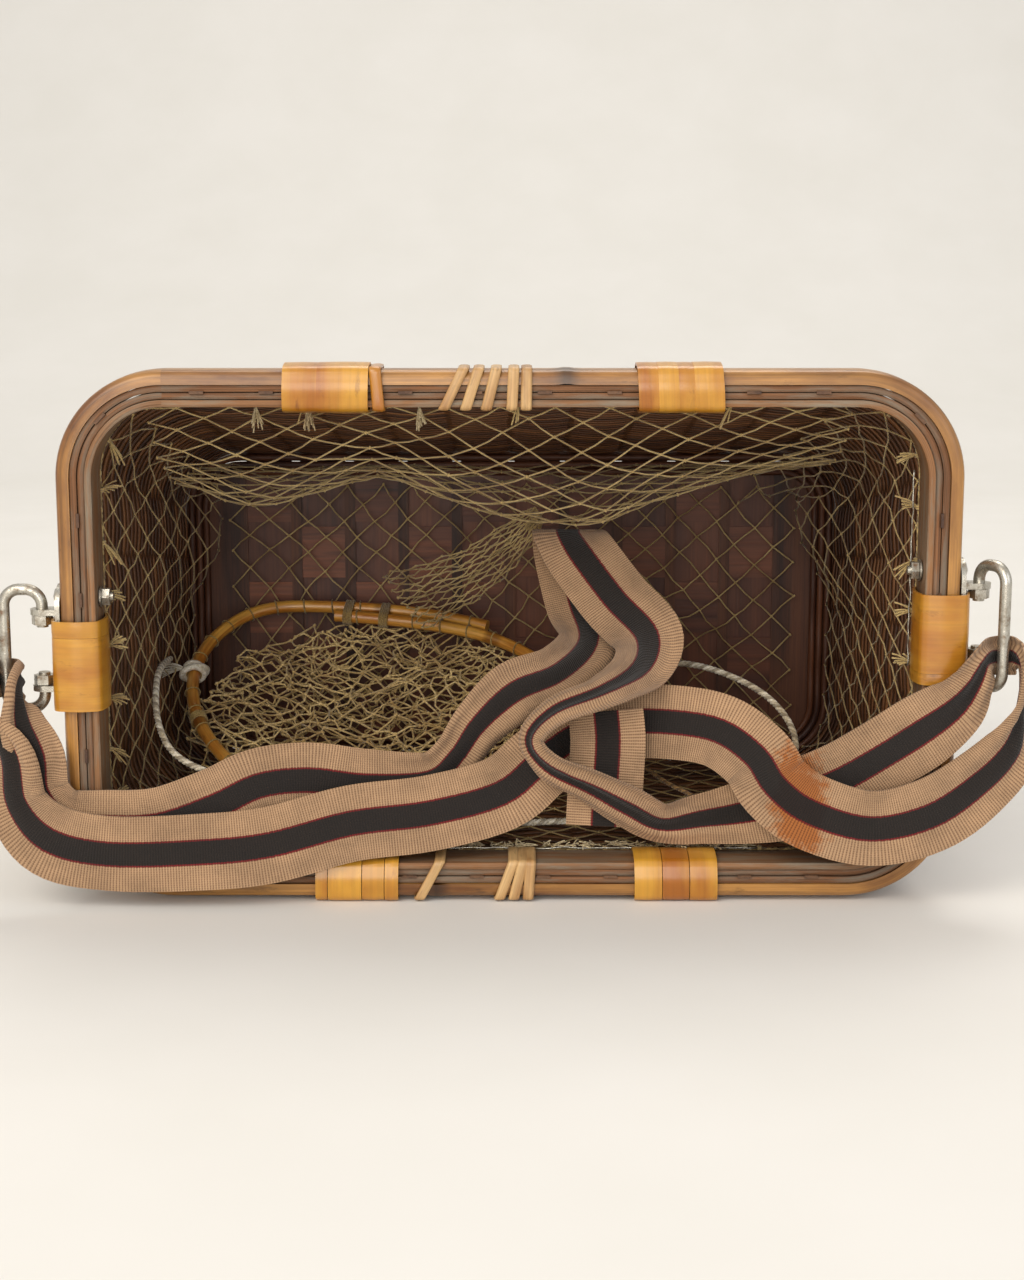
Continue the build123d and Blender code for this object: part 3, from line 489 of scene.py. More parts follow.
def laid_rope(work, line, radius, strands=3, lay=9.0, sides=6, closed=False):
    """Twist strands round a line; `lay` is the length of a strand's full turn in mm."""
    frames = carried(spaced(line, lay / 10), closed=closed)
    if closed:
        frames = frames[:-1]
    turns = max(1, round(len(frames) / 10)) * 2 * pi / len(frames)
    core = radius * 0.48
    for strand in range(strands):
        middle = []
        for i, (here, side, out) in enumerate(frames):
            angle = turns * i + 2 * pi * strand / strands
            middle.append(here + (side * cos(angle) + out * sin(angle)) * core)
        # The three strands carry tones of 1.0, 0.75 and 0.35, so two of them are darker, which brings out
        # the twist.
        sweep(work, carried(middle, closed=closed), disc(radius - core, sides),
              (1.0, 0.75, 0.35)[strand % 3], closed, strand * 0.31)


def turn_round(work, middle, side, out, reach, climb, thick, sides, steps):
    """One closed turn of cord round a rod that climbs a little along it on one side."""
    along = side.cross(out)
    points = [middle + (side * cos(a) + out * sin(a)) * reach + along * sin(a) * climb
              for a in [2 * pi * k / steps for k in range(steps)]]
    sweep(work, carried(points, along, closed=True), disc(thick / 2, sides), closed=True)


def tuft(work, root, lean, rng, count=14, reach=22.0, sag=0.35, thick=0.56):
    """A frayed end: short fibres that spread from one point and droop."""
    for _ in range(count):
        spread = Vector([rng.uniform(-0.32, 0.32) for _ in range(3)])
        way = (lean + spread) * reach * rng.uniform(0.7, 1.0)
        points = [root + way * t / 4 + Vector((0, 0, -sag * t * t)) for t in range(5)]
        sweep(work, carried(points), disc(thick / 2, 4))


def curve_between(stations, t):
    """Smooth value of a list of vectors or numbers at a place counted in stations."""
    i = min(int(t), len(stations) - 2)
    f = t - i
    a, b, c, d = (stations[max(0, min(len(stations) - 1, k))] for k in (i - 1, i, i + 1, i + 2))
    return 0.5 * (b * 2 + (c - a) * f + (a * 2 - b * 5 + c * 4 - d) * f ** 2
                  + (b * 3 - a - c * 3 + d) * f ** 3)


def wave(x, y=0.0, z=0.0):
    """Smooth random value between about -1 and 1."""
    return noise.noise(Vector((x, y, z)))


# ---------------------------------------------------------------- the creel's own lines


def spot(x, depth, z):
    """A place given by its depth behind the front of the rim, in mm."""
    return Vector((x, MOUTH_Y + depth, z))


def wall_at(depth, inset=0.0):
    """Half width, low side, high side and corner radius of the wall's middle at a depth."""
    share = max(0.0, depth - RIM_DEPTH) / (DEPTH - RIM_DEPTH)
    pairs = ((HALF_MOUTH - STAKE_INSET, BASE_HALF, -1), (RIM_LOW + STAKE_INSET, BASE_LOW, 1),
             (RIM_HIGH - STAKE_INSET, BASE_TOP, -1), (RIM_CORNER - STAKE_INSET, BASE_CORNER, -1))
    return [rim * (1 - share) + base * share + sign * inset for rim, base, sign in pairs]


def rim_at(inset):
    """The rim's rounded rectangle, `inset` inside its outer surface."""
    return [HALF_MOUTH - inset, RIM_LOW + inset, RIM_HIGH - inset, RIM_CORNER - inset]


LAPS = (10, 1, 4, 1, 10, 1, 4, 1)  # stakes on each side and corner, clockwise from the upper wall


def at_turn(section, turn):
    """x, z and outward normal on a rounded rectangle, where a turn is counted in stakes up to 32."""
    half, low, high, corner = section
    turn %= 32
    lap = 0
    while turn > LAPS[lap]:
        turn -= LAPS[lap]
        lap += 1
    share = turn / LAPS[lap]
    x, z = half - corner, high - corner
    if lap % 2:
        cx, cz = ((x, z), (x, low + corner), (-x, low + corner), (-x, z))[lap // 2]
        angle = radians(90 - 90 * (lap // 2) - 90 * share)
        return cx + corner * cos(angle), cz + corner * sin(angle), Vector((cos(angle), 0, sin(angle)))
    if lap in (0, 4):
        sign = 1 if lap == 0 else -1
        return sign * x * (2 * share - 1), high if sign > 0 else low, Vector((0, 0, sign))
    sign = 1 if lap == 2 else -1
    middle, reach = (z + low + corner) / 2, (z - low - corner) / 2
    return sign * half, middle - sign * reach * (2 * share - 1), Vector((sign, 0, 0))


def lengths_of(section):
    """Lengths of the eight laps of a rounded rectangle."""
    half, low, high, corner = section
    wide, tall, bend = 2 * (half - corner), high - low - 2 * corner, corner * pi / 2
    return [wide, bend, tall, bend] * 2


def turn_at(section, share):
    """The turn that stands at a share of a rounded rectangle's length."""
    lengths = lengths_of(section)
    goal = share % 1 * sum(lengths)
    for lap, length in enumerate(lengths):
        if goal <= length:
            return sum(LAPS[:lap]) + LAPS[lap] * goal / length
        goal -= length
    return 0.0


def ring(section_at, depth, step, lift=None):
    """Frames round the rim with the depth as their sideways direction."""
    total = sum(lengths_of(section_at))
    count = round(total / step)
    made = []
    for i in range(count):
        x, z, normal = at_turn(section_at, turn_at(section_at, i / count))
        made.append((spot(x, depth, z) + normal * (lift(i / count) if lift else 0.0),
                     Vector((0, 1, 0)), normal))
    return made


def rim_frame(side, along):
    """Origin, outward direction and direction along the hoop at a place on the rim."""
    return {
        "top": (Vector((along, MOUTH_Y, RIM_HIGH)), Vector((0, 0, 1)), Vector((1, 0, 0))),
        "bottom": (Vector((along, MOUTH_Y, RIM_LOW)), Vector((0, 0, -1)), Vector((1, 0, 0))),
        "right": (Vector((HALF_MOUTH, MOUTH_Y, along)), Vector((1, 0, 0)), Vector((0, 0, 1))),
        "left": (Vector((-HALF_MOUTH, MOUTH_Y, along)), Vector((-1, 0, 0)), Vector((0, 0, 1))),
    }[side]


def wound(side, along, lift, lean=0.0, extra=0.0, bend=2.2, belly=0.0):
    """Frames of a strip wound once round the rim, with its middle `lift` off the rim's surface.

    `belly` is how far its faces bow out between the rim's corners, though not into the ground.
    """
    origin, out, way = rim_frame(side, along)
    slant = tan(radians(lean)) * (1 if side in ("top", "right") else -1)
    high, low = extra + lift - bend, -BAND - lift + bend
    front, back = bend - lift, RIM_DEPTH + lift - bend
    corners = [(high, back), (low, back), (low, front), (high, front)]
    made = []
    for lap, (r, d) in enumerate(corners):
        for k in range(7):
            angle = radians(90 * lap + 15 * k)
            made.append((r + bend * cos(angle), d + bend * sin(angle), angle))
        r0, d0, angle = made[-1]
        r1, d1 = corners[(lap + 1) % 4]
        r1, d1 = r1 + bend * cos(angle), d1 + bend * sin(angle)
        for k in range(1, 6):
            share = k / 6
            bow = 0.0 if side == "bottom" and lap == 3 else belly * 4 * share * (1 - share)
            turn = angle + belly * (share - 0.5) * 0.16
            made.append((r0 + (r1 - r0) * share + bow * cos(angle),
                         d0 + (d1 - d0) * share + bow * sin(angle), turn))
    return [(origin + out * r + Vector((0, d, 0)) + way * slant * (r + BAND / 2), way,
             out * cos(angle) + Vector((0, 1, 0)) * sin(angle)) for r, d, angle in made]


# ---- routes of the soft pieces: x, depth and height in mm ----
HOOP_NEAR = (60.0, 19.0)
HOOP_FAR = (222.0, 95.0)
HOOP_ROD = 3.2
ROD_GAP = 7.2
HOOP_LINE = [
    (-92, 167), (-40, 161), (5, 140), (31, 102), (38, 58), (20, 17), (-22, 1), (-72, 3), (-116, 23),
    (-146, 58), (-161, 100), (-158, 142), (-134, 168 + ROD_GAP), (-94, 168.5 + ROD_GAP),
    (-40, 162 + ROD_GAP), (-12, 150 + ROD_GAP),
]
LANYARD = [
    (-170, 154, 78), (-169, 118, 82), (-166, 84, 78), (-161, 56, 66), (-150, 38, 54), (-122, 31, 46),
    (-86, 33, 36), (-48, 38, 27), (-6, 44, 23), (36, 47, 24), (78, 46, 26), (112, 42, 36),
    (134, 52, 54), (124, 82, 74), (92, 112, 84), (66, 116, 83), (46, 116, 73), (39, 114, 58),
    (38.5, 113, 47.4),
]
BROWN_CORD = [
    (38, 108, 45.2), (40, 97, 54), (47, 79, 56), (57, 61, 49), (70, 45, 42), (82, 31, 39.5),
    (85.5, 19.6, 38.7),
]
# x and height of the lowest line of the swag
SWAG = [
    (-154, 173), (-122, 162), (-89, 168), (-61, 176), (-28, 164), (5, 155), (38, 152.5), (61, 162),
    (89, 170), (117, 178), (149, 182),
]
BUNCH = [(14, 123, 150.5), (2, 134, 137), (-16, 152, 120), (-38, 172, 106), (-56, 186, 97)]
TIPPED = (0, -1, 0.3)  # the strap's face looks a little upwards
FLAT = (0, -1, 0)  # it lies flat against the front of the rim
STRAP = {
    # each station: x, depth, height, the way its face looks, and its width (0 when it is full)
    "strap_left_loop": [
        (-203, -5, 66, FLAT, 26), (-207.5, -6, 80, (0.6, -1, 0), 20),
        (-209.5, -4, 91.25, (1, -0.4, 0), 17.2), (-211.2, 5, 96.25, (1, 0, 0), 17.2),
        (-211.8, 13, 96.25, (1, 0.3, 0), 17.2), (-215.5, 17, 96.25, (0.3, 1, 0), 17.2),
        (-221, 15.8, 96.25, (-0.8, 1, 0), 17.2), (-222.7, 10.5, 96.25, (-1, 0.1, 0), 17.2),
        (-222.7, 3, 92.25, (-1, 0, 0), 17.2), (-222.6, -1, 84, (-1, 0, 0), 20),
        (-213, -8.8, 66, (-0.3, -1, 0), 24),
    ],
    "strap_lower_run": [
        (-210.5, -9, 46, (-0.2, -1, 0), 28), (-197, -11, 31, FLAT, 0), (-172, -11, 25, FLAT, 0),
        (-134, -9, 25, (0, -1, 0.15), 0), (-104, -5, 27, TIPPED, 0), (-69, 1, 35, TIPPED, 0),
        (-35, 7, 38, TIPPED, 0), (-4, 14, 45, TIPPED, 0), (13, 22, 57, TIPPED, 0),
        (29, 30, 67, TIPPED, 0), (49, 35, 72, TIPPED, 0), (71, 32, 73, TIPPED, 0),
        (92, 23, 71, TIPPED, 0), (107, 12, 62, TIPPED, 0), (115, 2, 51, TIPPED, 0),
        (129, -6, 42, (0, -1, 0.15), 0), (154, -10.5, 36, FLAT, 0), (179, -12.1, 42, FLAT, 0),
        (199, -10.5, 55, FLAT, 30),
    ],
    "strap_right_loop": [
        (213.6, -7.5, 70, (0.3, -1, 0), 26), (218, -3, 87, (1, -0.4, 0), 20),
        (218.5, -3, 103.7, (1, -0.1, 0), 17.2), (216, -0.5, 108.7, (1, 0.3, 0), 17.2),
        (212.5, 3.2, 108.7, (0.6, 1, 0), 17.2), (206.4, 2.2, 108.7, (-0.5, 1, 0), 17.2),
        (201, -5.5, 107.7, (-0.6, 0.8, 0), 17.2), (196, -7, 98, (-0.3, 1, 0), 22),
    ],
    "strap_right_run": [
        (189, -6.5, 88, FLAT, 28), (176, -6.5, 78, FLAT, 0), (160, -5, 67, FLAT, 0),
        (143, 3, 54, (0, -1, 0.15), 0), (122, 12, 42, TIPPED, 0), (103, 16, 36, TIPPED, 28),
        (84, 16, 33, TIPPED, 22),
    ],
    "strap_hanging_loop": [
        (66, 13, 32, (0.2, -1, -0.3), 20), (52, 9, 40, (0.2, -1, -0.5), 22),
        (35, 7, 50, (-0.2, -1, -0.6), 22), (17, 6, 59, (-0.6, -1, -0.6), 20),
        (9, 8, 71, (-1, -0.8, 0.3), 18), (20, 10, 83, (-0.4, -0.8, 1), 18),
        (41, 17, 90, (0, -0.7, 1), 20), (58, 38, 96, (0, -1, 0.6), 26), (62, 58, 107, TIPPED, 0),
        (48, 76, 121, TIPPED, 0), (34, 92, 138, TIPPED, 0), (28, 101, 146, (0, -0.6, 1), 0),
        (27, 106.5, 148.5, (0, 0, 1), 0), (27, 113, 146, (0, 0.6, 1), 0), (28, 113, 136, (0, 1, 0), 0),
        (33, 98, 116, (0, 1, 0), 0), (36, 76, 101, (0, 1, -0.5), 28), (22, 54, 91, (0, 1, -0.3), 26),
        (2, 40, 85, (0, 1, -0.3), 28), (-14, 32, 72, (0, 1, 0), 24), (-24, 29, 58, (0, 1, 0), 22),
    ],
    "strap_left_run": [
        (-36, 25, 48, TIPPED, 26), (-64, 19, 47, TIPPED, 0), (-88, 14, 51, TIPPED, 0),
        (-109, 8, 50, TIPPED, 0), (-127, 1, 43, (0, -1, 0.15), 0), (-150, -4, 36, FLAT, 0),
        (-172, -5, 35, FLAT, 0), (-192, -5, 38, FLAT, 30), (-202, -5, 50, FLAT, 28),
    ],
}
STRAP_TAIL = [
    (42, 23, 80, TIPPED, 0), (43, 20.5, 67, TIPPED, 0), (42, 17.5, 49, TIPPED, 0),
    (41, 15, 30, TIPPED, 0),
]
# the body that a loop turns with, and the places, in metres, from where it stays with the creel
# to where it turns all the way
BLENDS = {
    "strap_left_loop": ("bail_left", (-0.210, -0.119, 0.068), (-0.210, -0.119, 0.088)),
    "strap_right_loop": ("bail_right", (0.200, -0.119, 0.088), (0.207, -0.119, 0.103)),
}


def in_hoop(across, up_slope, above=0.0):
    """A place in the landing net's leaning plane."""
    slope = Vector((0, HOOP_FAR[0] - HOOP_NEAR[0], HOOP_FAR[1] - HOOP_NEAR[1])).normalized()
    lift = Vector((1, 0, 0)).cross(slope)
    return spot(across, *HOOP_NEAR) + slope * up_slope + lift * above


# ---------------------------------------------------------------- operators


class CREEL_OT_camera(bpy.types.Operator):
    """Set the camera a little above the rim, straight in front of the mouth"""

    bl_idname = "creel.camera"
    bl_label = "Camera"

    def execute(self, context):
        lens = bpy.data.cameras.new("camera")
        lens.lens = 60.0
        lens.sensor_width = 36.0
        camera = bpy.data.objects.new("camera", lens)
        context.scene.collection.objects.link(camera)
        camera.location = Vector((0.85, -1006.3, 281.5)) * MM
        aim = Vector((0.85, -113.5, 116.0)) * MM - camera.location
        camera.rotation_euler = aim.to_track_quat("-Z", "Y").to_euler()
        context.scene.camera = camera
        return {"FINISHED"}


class CREEL_OT_cords(bpy.types.Operator):
    """Lay the twisted white lanyard with its knot, and the thin brown cord"""

    bl_idname = "creel.cords"
    bl_label = "Cords"

    def execute(self, context):
        # Bleached cotton cord of three strands, two of them toned darker.
        white = twine("twisted_cotton_cord", "#d3c7a6", "#fdf8ea", 1.3)
        brown = twine("twisted_brown_twine", "#5c4322", "#b08a50", 1.1)
        for name, points, thick, material, slot in (
            ("lanyard_cord", LANYARD, 3.2, white, "white_cord"),
            ("brown_cord", BROWN_CORD, 2.2, brown, "brown_cord"),
        ):
            line = route(name, [spot(*place) for place in points])
            work = bmesh.new()
            laid_rope(work, line, thick / 2, lay=thick * 2.1)
            made = settle(name + "_laid", work, material, [name], slot)
            length = sum((b - a).length for a, b in zip(line, line[1:])) * MM
        work = bmesh.new()
        a, b = in_hoop(*HOOP_LINE[10]), in_hoop(*HOOP_LINE[11])
        along = (b - a).normalized()
        for turn, (shift, lean) in enumerate(((0.6, 12), (3.4, -8), (1.9, 38))):
            side = along.orthogonal().normalized()
            reach = HOOP_ROD + 1.8 + (0.8 if turn == 2 else 0)
            turn_round(work, a + (b - a) * 0.35 + along * shift, side, along.cross(side), reach,
                       reach * tan(radians(lean)), 3.0, 6, 24)
        rng = Random(context.scene.creel_sizes.seed)
        # The cord's cut end is teased out into a short pale tuft.
        tuft(work, a + (b - a) * 0.4 + Vector((-4, -1, 2)), Vector((-0.9, -0.25, 0.3)), rng, 18)
        settle("lanyard_knot_tied", work, white, ["lanyard_knot"], "white_cord")
        return {"FINISHED"}


class CREEL_OT_walls(bpy.types.Operator):
    """Weave the fine split-bamboo weavers round the stakes"""

    bl_idname = "creel.walls"
    bl_label = "Woven walls"

    def execute(self, context):
        sizes, colours = context.scene.creel_sizes, context.scene.creel_colours
        rng = Random(sizes.seed)
        work = bmesh.new()
        turns = []
        for lap, stakes in enumerate(LAPS):
            parts = 12 if lap % 2 else 5 * stakes
            turns += [sum(LAPS[:lap]) + stakes * k / parts for k in range(parts)]
        pitch = sizes.weaver_pitch / MM
        first, last = WEAVE_DEPTHS
        for row in range(int((last - first) / pitch)):
            depth = first + pitch * (row + 0.5)
            seed = rng.uniform(0, 50)
            width = sizes.weaver_width / MM * rng.uniform(0.96, 1.02)
            places, sections = [], []
            for turn in turns:
                drift = 0.16 * wave(turn * 0.9, seed)
                x, z, normal = at_turn(wall_at(depth + drift), turn)
                fx, fz, _ = at_turn(wall_at(depth + drift + 1), turn)
                along_wall = (spot(fx, 1, fz) - spot(x, 0, z)).normalized()
                # Each row passes behind the stakes that the row before it passed in front of.
                swing = WEAVER_SWING * cos(pi * (turn - 0.5) + pi * row)
                places.append((spot(x, depth + drift, z) + normal * swing, along_wall, normal))
                swell = 1 + 0.05 * wave(turn * 0.5, seed + 9)
                sections.append(lath(width * swell, WEAVER_THICK, 0.2))
            sweep(work, places, sections, rng.uniform(0.15, 1.0), closed=True, start=seed)
        nodes = ["top_wall_weavers", "bottom_wall_weavers", "left_wall_weavers",
                 "right_wall_weavers", "corner_weavers"]
        # Aged split bamboo: satin skin, brown with thin darker fibres along every weaver.
        weave = bamboo("split_bamboo_weavers", colours.weave, "UV", (16.0, 1200.0, 1.0),
                       (9.0, 70.0, 1.0), "#6b4426", 0.55, 0.08)
        settle("wall_weave", work, weave, nodes, "bamboo_weave")
        stakes = bamboo("split_bamboo_stakes", linear("#64452c"), "Object",
                        (1100.0, 14.0, 1100.0), (70.0, 9.0, 70.0), "#77512f", 0.6)
        refinish(stakes, "wall_stakes")
        return {"FINISHED"}


class CREEL_OT_base(bpy.types.Operator):
    """Plait the base of wide bamboo strips and set the foot hoop"""

    bl_idname = "creel.base"
    bl_label = "Base"

    def execute(self, context):
        dark = linear("#6e3d24")
        # Wide strips keep their red-brown varnish; the level strips are 1.3 times as light as the upright
        # ones.
        refinish(bamboo("varnished_bamboo_upright", dark, "Object", (700.0, 700.0, 12.0),
                        (31.0, 6.0, 2.5), "#6b4030", 0.55, 0.06, 0.7), "base_cross_strips")
        refinish(bamboo("varnished_bamboo_level", shade(dark, 1.3), "Object", (12.0, 700.0, 700.0),
                        (2.5, 6.0, 33.0), "#6b4030", 0.55, 0.06, 0.7), "base_long_strips")
        bark = bamboo("split_bamboo_border", linear("#6f4023"), "UV", (16.0, 900.0, 1.0),
                      (9.0, 70.0, 1.0), "#6b4426", 0.6, 0.05)
        work = bmesh.new()
        # Wide strips close the ends, and thin ribs lie over the slits between the upright ones.
        for k in range(11):
            rib = 0 < k < 10
            x = RIB_PITCH * (k - 5) if rib else END_STRIP_X * (k / 5 - 1)
            line = [(spot(x, BASE_FACE, 13 + 9 * j), Vector((1, 0, 0)), Vector((0, -1, 0)))
                    for j in range(18)]
            sweep(work, line, lath(5.6 if rib else 29, 0.8, 0.12), 0.6 + 0.35 * wave(k * 0.7),
                  start=k * 0.37)
        settle("base_ribs", work, bark, slot="bamboo_base", sharp=35)
        # Four rows of waling round the edge hold the strips' ends.
        work = bmesh.new()
        for row, depth in enumerate((236.0, 232.6, 232.6, 232.6)):
            edge = ring(wall_at(depth, 3.8 * row - 0.3), depth, 3.6)
            places = [(here + Vector((0, 0.5 * sin(i * 0.8 + row * 2.1), 0)), side, out)
                      for i, (here, side, out) in enumerate(edge)]
            sweep(work, places, disc(1.85, 7), lambda i, row=row: 0.7 + 0.3 * wave(i * 0.13, row * 5),
                  closed=True, start=row * 1.3)
        settle("base_border_waled", work, bark, slot="bamboo_base")
        work = bmesh.new()
        section = wall_at(229, -2.75)
        profile = [(0, 0), (0, 3.0), (0.9, 4.0), (5.5, 4.35), (10.1, 4.0), (11, 3.0), (11, 0)]
        places = ring(section, 229.0, 4.0)
        sweep(work, places, profile, lambda i: 0.75 + 0.25 * wave(i * 0.09, 4), closed=True)
        settle("foot_hoop_bent", work, bamboo(
            "bamboo_skin_hoop", linear("#96622c"), "UV", (10.0, 900.0, 1.0), (8.0, 50.0, 1.0),
            "#714a26", 0.5, 0.15), ["foot_hoop"], "bamboo_base", sharp=50)
        return {"FINISHED"}


class CREEL_OT_rim(bpy.types.Operator):
    """Bend the outer hoop, the laths and the inner hoop of the rim"""

    bl_idname = "creel.rim"
    bl_label = "Rim"

    def execute(self, context):
        skin = bamboo("bamboo_skin_rim", linear("#ab7a3c"), "UV", (9.0, 800.0, 1.0),
                      (14.0, 60.0, 1.0), "#7d5530", 0.38, 0.3, 0.9, "#3a2a1c")
        edge = weathered_edge("bamboo_lath_edges", linear("#7a5130"), "#7d7161")
        inner = weathered_edge("bamboo_inner_hoop", linear("#8a5f38"), "#8a7d6a", 0.65)
        nodes = (0.148, 0.392, 0.655, 0.88)

        def bulge(share):
            # A culm's nodes stand out as low swollen rings.
            return max(0.55 * max(0.0, 1 - abs((share - place) * 260)) for place in nodes)

        def tone(count):
            return lambda i: min([1.0] + [
                0.12 + 0.88 * min(1.0, abs((i / count - place) * 170)) for place in nodes])

        outer = [(0, -6), (0.2, -2.9), (1.1, -0.9), (3.2, 0), (11, 0.25), (18.8, 0), (20.9, -0.9),
                 (21.8, -2.9), (22, -6)]
        count = round(sum(lengths_of(rim_at(0))) / 2.4)
        for name, inset, thick, set_back, profile, material, node in (
            ("rim_outer_bent", 0.0, 6.0, 0.0, outer, skin, "rim_outer_hoop"),
            ("rim_outer_lath", 6.2, 2.9, 0.8, None, edge, "rim_outer_lamina"),
            ("rim_inner_lath", 9.4, 2.8, 1.4, None, edge, "rim_inner_lamina"),
            ("rim_inner_bent", 12.4, 3.0, 0.4, None, inner, "rim_inner_hoop"),
        ):
            work = bmesh.new()
            places = ring(rim_at(inset), 0.0, 2.4, bulge if profile else None)
            if profile:
                sweep(work, places, profile, tone(count), closed=True)
            else:
                # A lath wanders a little in the rim, and its front edge is worn away unevenly.
                sections = []
                for i in range(len(places)):
                    slack = 0.35 * wave(i * 0.05, inset * 3)
                    front = set_back + 0.45 * wave(i * 0.07, inset * 7)
                    eat = 0.25 + 0.2 * wave(i * 0.21, inset * 5)
                    sections.append([
                        (front + 0.5, -slack * 0.3), (front, -0.5 - eat), (front, -thick + 0.5 + eat),
                        (front + 0.5, -thick + 0.1), (21.4, -thick + 0.1), (21.9, -thick + 0.5),
                        (21.9, -0.5), (21.4, 0)])
                sweep(work, places, sections, lambda i: 0.85 + 0.15 * wave(i * 0.11, inset),
                      closed=True, start=inset * 0.17)
            settle(name, work, material, [node], "rim_skin" if profile else "rim_edge", sharp=45)
        return {"FINISHED"}


class CREEL_OT_sleeves(bpy.types.Operator):
    """Wrap the cane sleeves, the band and the lashings round the rim"""

    bl_idname = "creel.sleeves"
    bl_label = "Cane sleeves"

    def execute(self, context):
        colours = context.scene.creel_colours
        # Peeled cane keeps its hard glossy skin, honey yellow with fine pale lines.
        cane = bamboo("peeled_cane_skin", colours.cane, "UV", (9.0, 620.0, 1.0), (13.0, 38.0, 1.0),
                      "#c08c48", 0.30, 0.4, 0.3, "#c8a878", 0.00006, "#7a4a1c")
        pale = bamboo("rattan_core", linear("#cda873"), "UV", (14.0, 1100.0, 1.0), (20.0, 80.0, 1.0),
                      "#b08a58", 0.45, 0.15, 0.6, "#b89a74")
        rng = Random(context.scene.creel_sizes.seed + 3)
        wraps = {
            # side, middle, how far it clears the rim, and its strips: start, width, step out and lean
            "sleeve_top_left": ("top", -77.0, 0.0, [(-18, 15, 0.0, 1.5), (-3.6, 21.5, 0.25, 1.5)]),
            "sleeve_top_right": ("top", 71.5, 0.0, [(-18, 9, 0.0, -3), (-9.6, 8.6, 0.3, -3),
                                                    (-1.5, 7.4, 0.1, -3.5), (5.6, 12.2, 0.4, -4)]),
            "sleeve_bottom_left": ("bottom", -66.5, 0.0, [(-18, 5.2, 0.0, 1), (-12.6, 14.6, 0.3, 1),
                                                          (2.2, 9.6, 0.1, 1), (12, 6, 0.3, 1)]),
            "sleeve_bottom_right": ("bottom", 72.0, 0.0, [(-18, 12, 0.2, -1), (-5.8, 11.6, 0.0, -1),
                                                          (6, 12, 0.3, -1)]),
            "sleeve_left_end": ("left", END_SLEEVES["left"], 2.2, [(-19.5, 31.8, 0.1, 0),
                                                                   (12.3, 7.2, 0.0, 0)]),
            "sleeve_right_end": ("right", END_SLEEVES["right"], 2.2, [(-19.5, 5.0, 0.0, 0),
                                                                      (-14.5, 34.0, 0.1, 0)]),
        }
        for name, (side, middle, extra, strips) in wraps.items():
            work = bmesh.new()
            clear = 1.2 if side == "bottom" else 1.3
            for start, width, step, lean in strips:
                places = wound(side, middle + start + width / 2, clear + step * 0.5, lean, extra,
                               SLEEVE_BEND, 1.0)
                tone = rng.uniform(0.82, 1.0)
                sweep(work, places, lath(width - 0.1, 1.3, 0.12),
                      lambda i, tone=tone: tone + 0.1 * wave(i * 0.3, tone * 9), closed=True,
                      start=rng.uniform(0, 9))
            settle(name + "_wound", work, cane, [name], "cane", sharp=35)
        work = bmesh.new()
        sweep(work, wound("top", -55.5, 1.1, -5), lath(5.0, 1.5), 0.85, closed=True)
        settle("sleeve_band_wound", work, cane, ["sleeve_band"], "cane")
        # The lashings' turns: each has its place along the rim and its lean in degrees.
        for side, turns in (
            ("top", [(-23.5, 26), (-15.8, 18), (-7.8, 14), (1.2, 3), (6.9, 1)]),
            ("bottom", [(-35.0, 28), (-1.6, 20), (3.6, 14), (8.4, 4)]),
        ):
            work = bmesh.new()
            for x, lean in turns:
                places = wound(side, x, 0.75, lean, bend=1.6)
                sweep(work, places, lath(4.6, 1.3, 0.35), rng.uniform(0.7, 1.0), closed=True,
                      start=rng.uniform(0, 9))
            settle(f"{side}_lashing_wound", work, pale, [f"{side}_lashing"], "cane")
        return {"FINISHED"}


class CREEL_OT_hardware(bpy.types.Operator):
    """Finish the end plates, bails, bolts and nuts in dull steel"""

    bl_idname = "creel.hardware"
    bl_label = "Steel fittings"

    def execute(self, context):
        refinish(steel(), "left_end_plate", "right_end_plate", "left_bail", "right_bail",
                 "left_bail_nuts", "right_bail_nuts", "plate_bolts", "plate_nuts", "plate_rivets")
        return {"FINISHED"}


def netting(work, wide, tall, half_u, half_v, place, thick, rng, kept=None, shake=0.7, slack=0.35):
    """Knotted diamond mesh: two families of slanting twine lines that cross at their knots.

    `place` sets a point of the flat net (u, v) in space, and `kept` says where there is any net.
    """
    across, up = int(wide / half_u), int(tall / half_v)
    knot = {}

    def tied(a, b):
        inside = 0 <= a <= across and 0 <= b <= up
        if not inside or (kept and not kept(a * half_u, b * half_v)):
            return None
        if (a, b) not in knot:
            slip = [rng.uniform(-1, 1) * shake for _ in range(3)]
            here = place(a * half_u + slip[0], b * half_v + slip[1])
            knot[a, b] = here + Vector((0, slip[2] * 0.5, 0))
        return knot[a, b]

    for way in (1, -1):
        for first in range(-up - up % 2, across + up + 1, 2):
            line = []
            for b in range(up + 1):
                here = tied(first + way * b, b)
                if here is not None:
                    if line:
                        bow = Vector([rng.uniform(-slack, slack) for _ in range(3)])
                        line.append(line[-1].lerp(here, 0.5) + bow + Vector((0, 0, -0.25)))
                    line.append(here)
                if (here is None or b == up) and line:
                    if len(line) > 1:
                        sweep(work, carried(line), disc(thick / 2, 4))
                    line = []
    for here in knot.values():
        turn = Matrix.Rotation(rng.uniform(0, pi), 4, "Y")
        size = Matrix.Diagonal((1.25, 0.8, 0.85, 1.0))
        ball = bmesh.ops.create_icosphere(work, subdivisions=1, radius=thick * 1.05 * MM,
                                          matrix=Matrix.Translation(here * MM) @ turn @ size)
        for vert in ball["verts"]:
            vert[work.verts.layers.float["tone"]] = 1.0


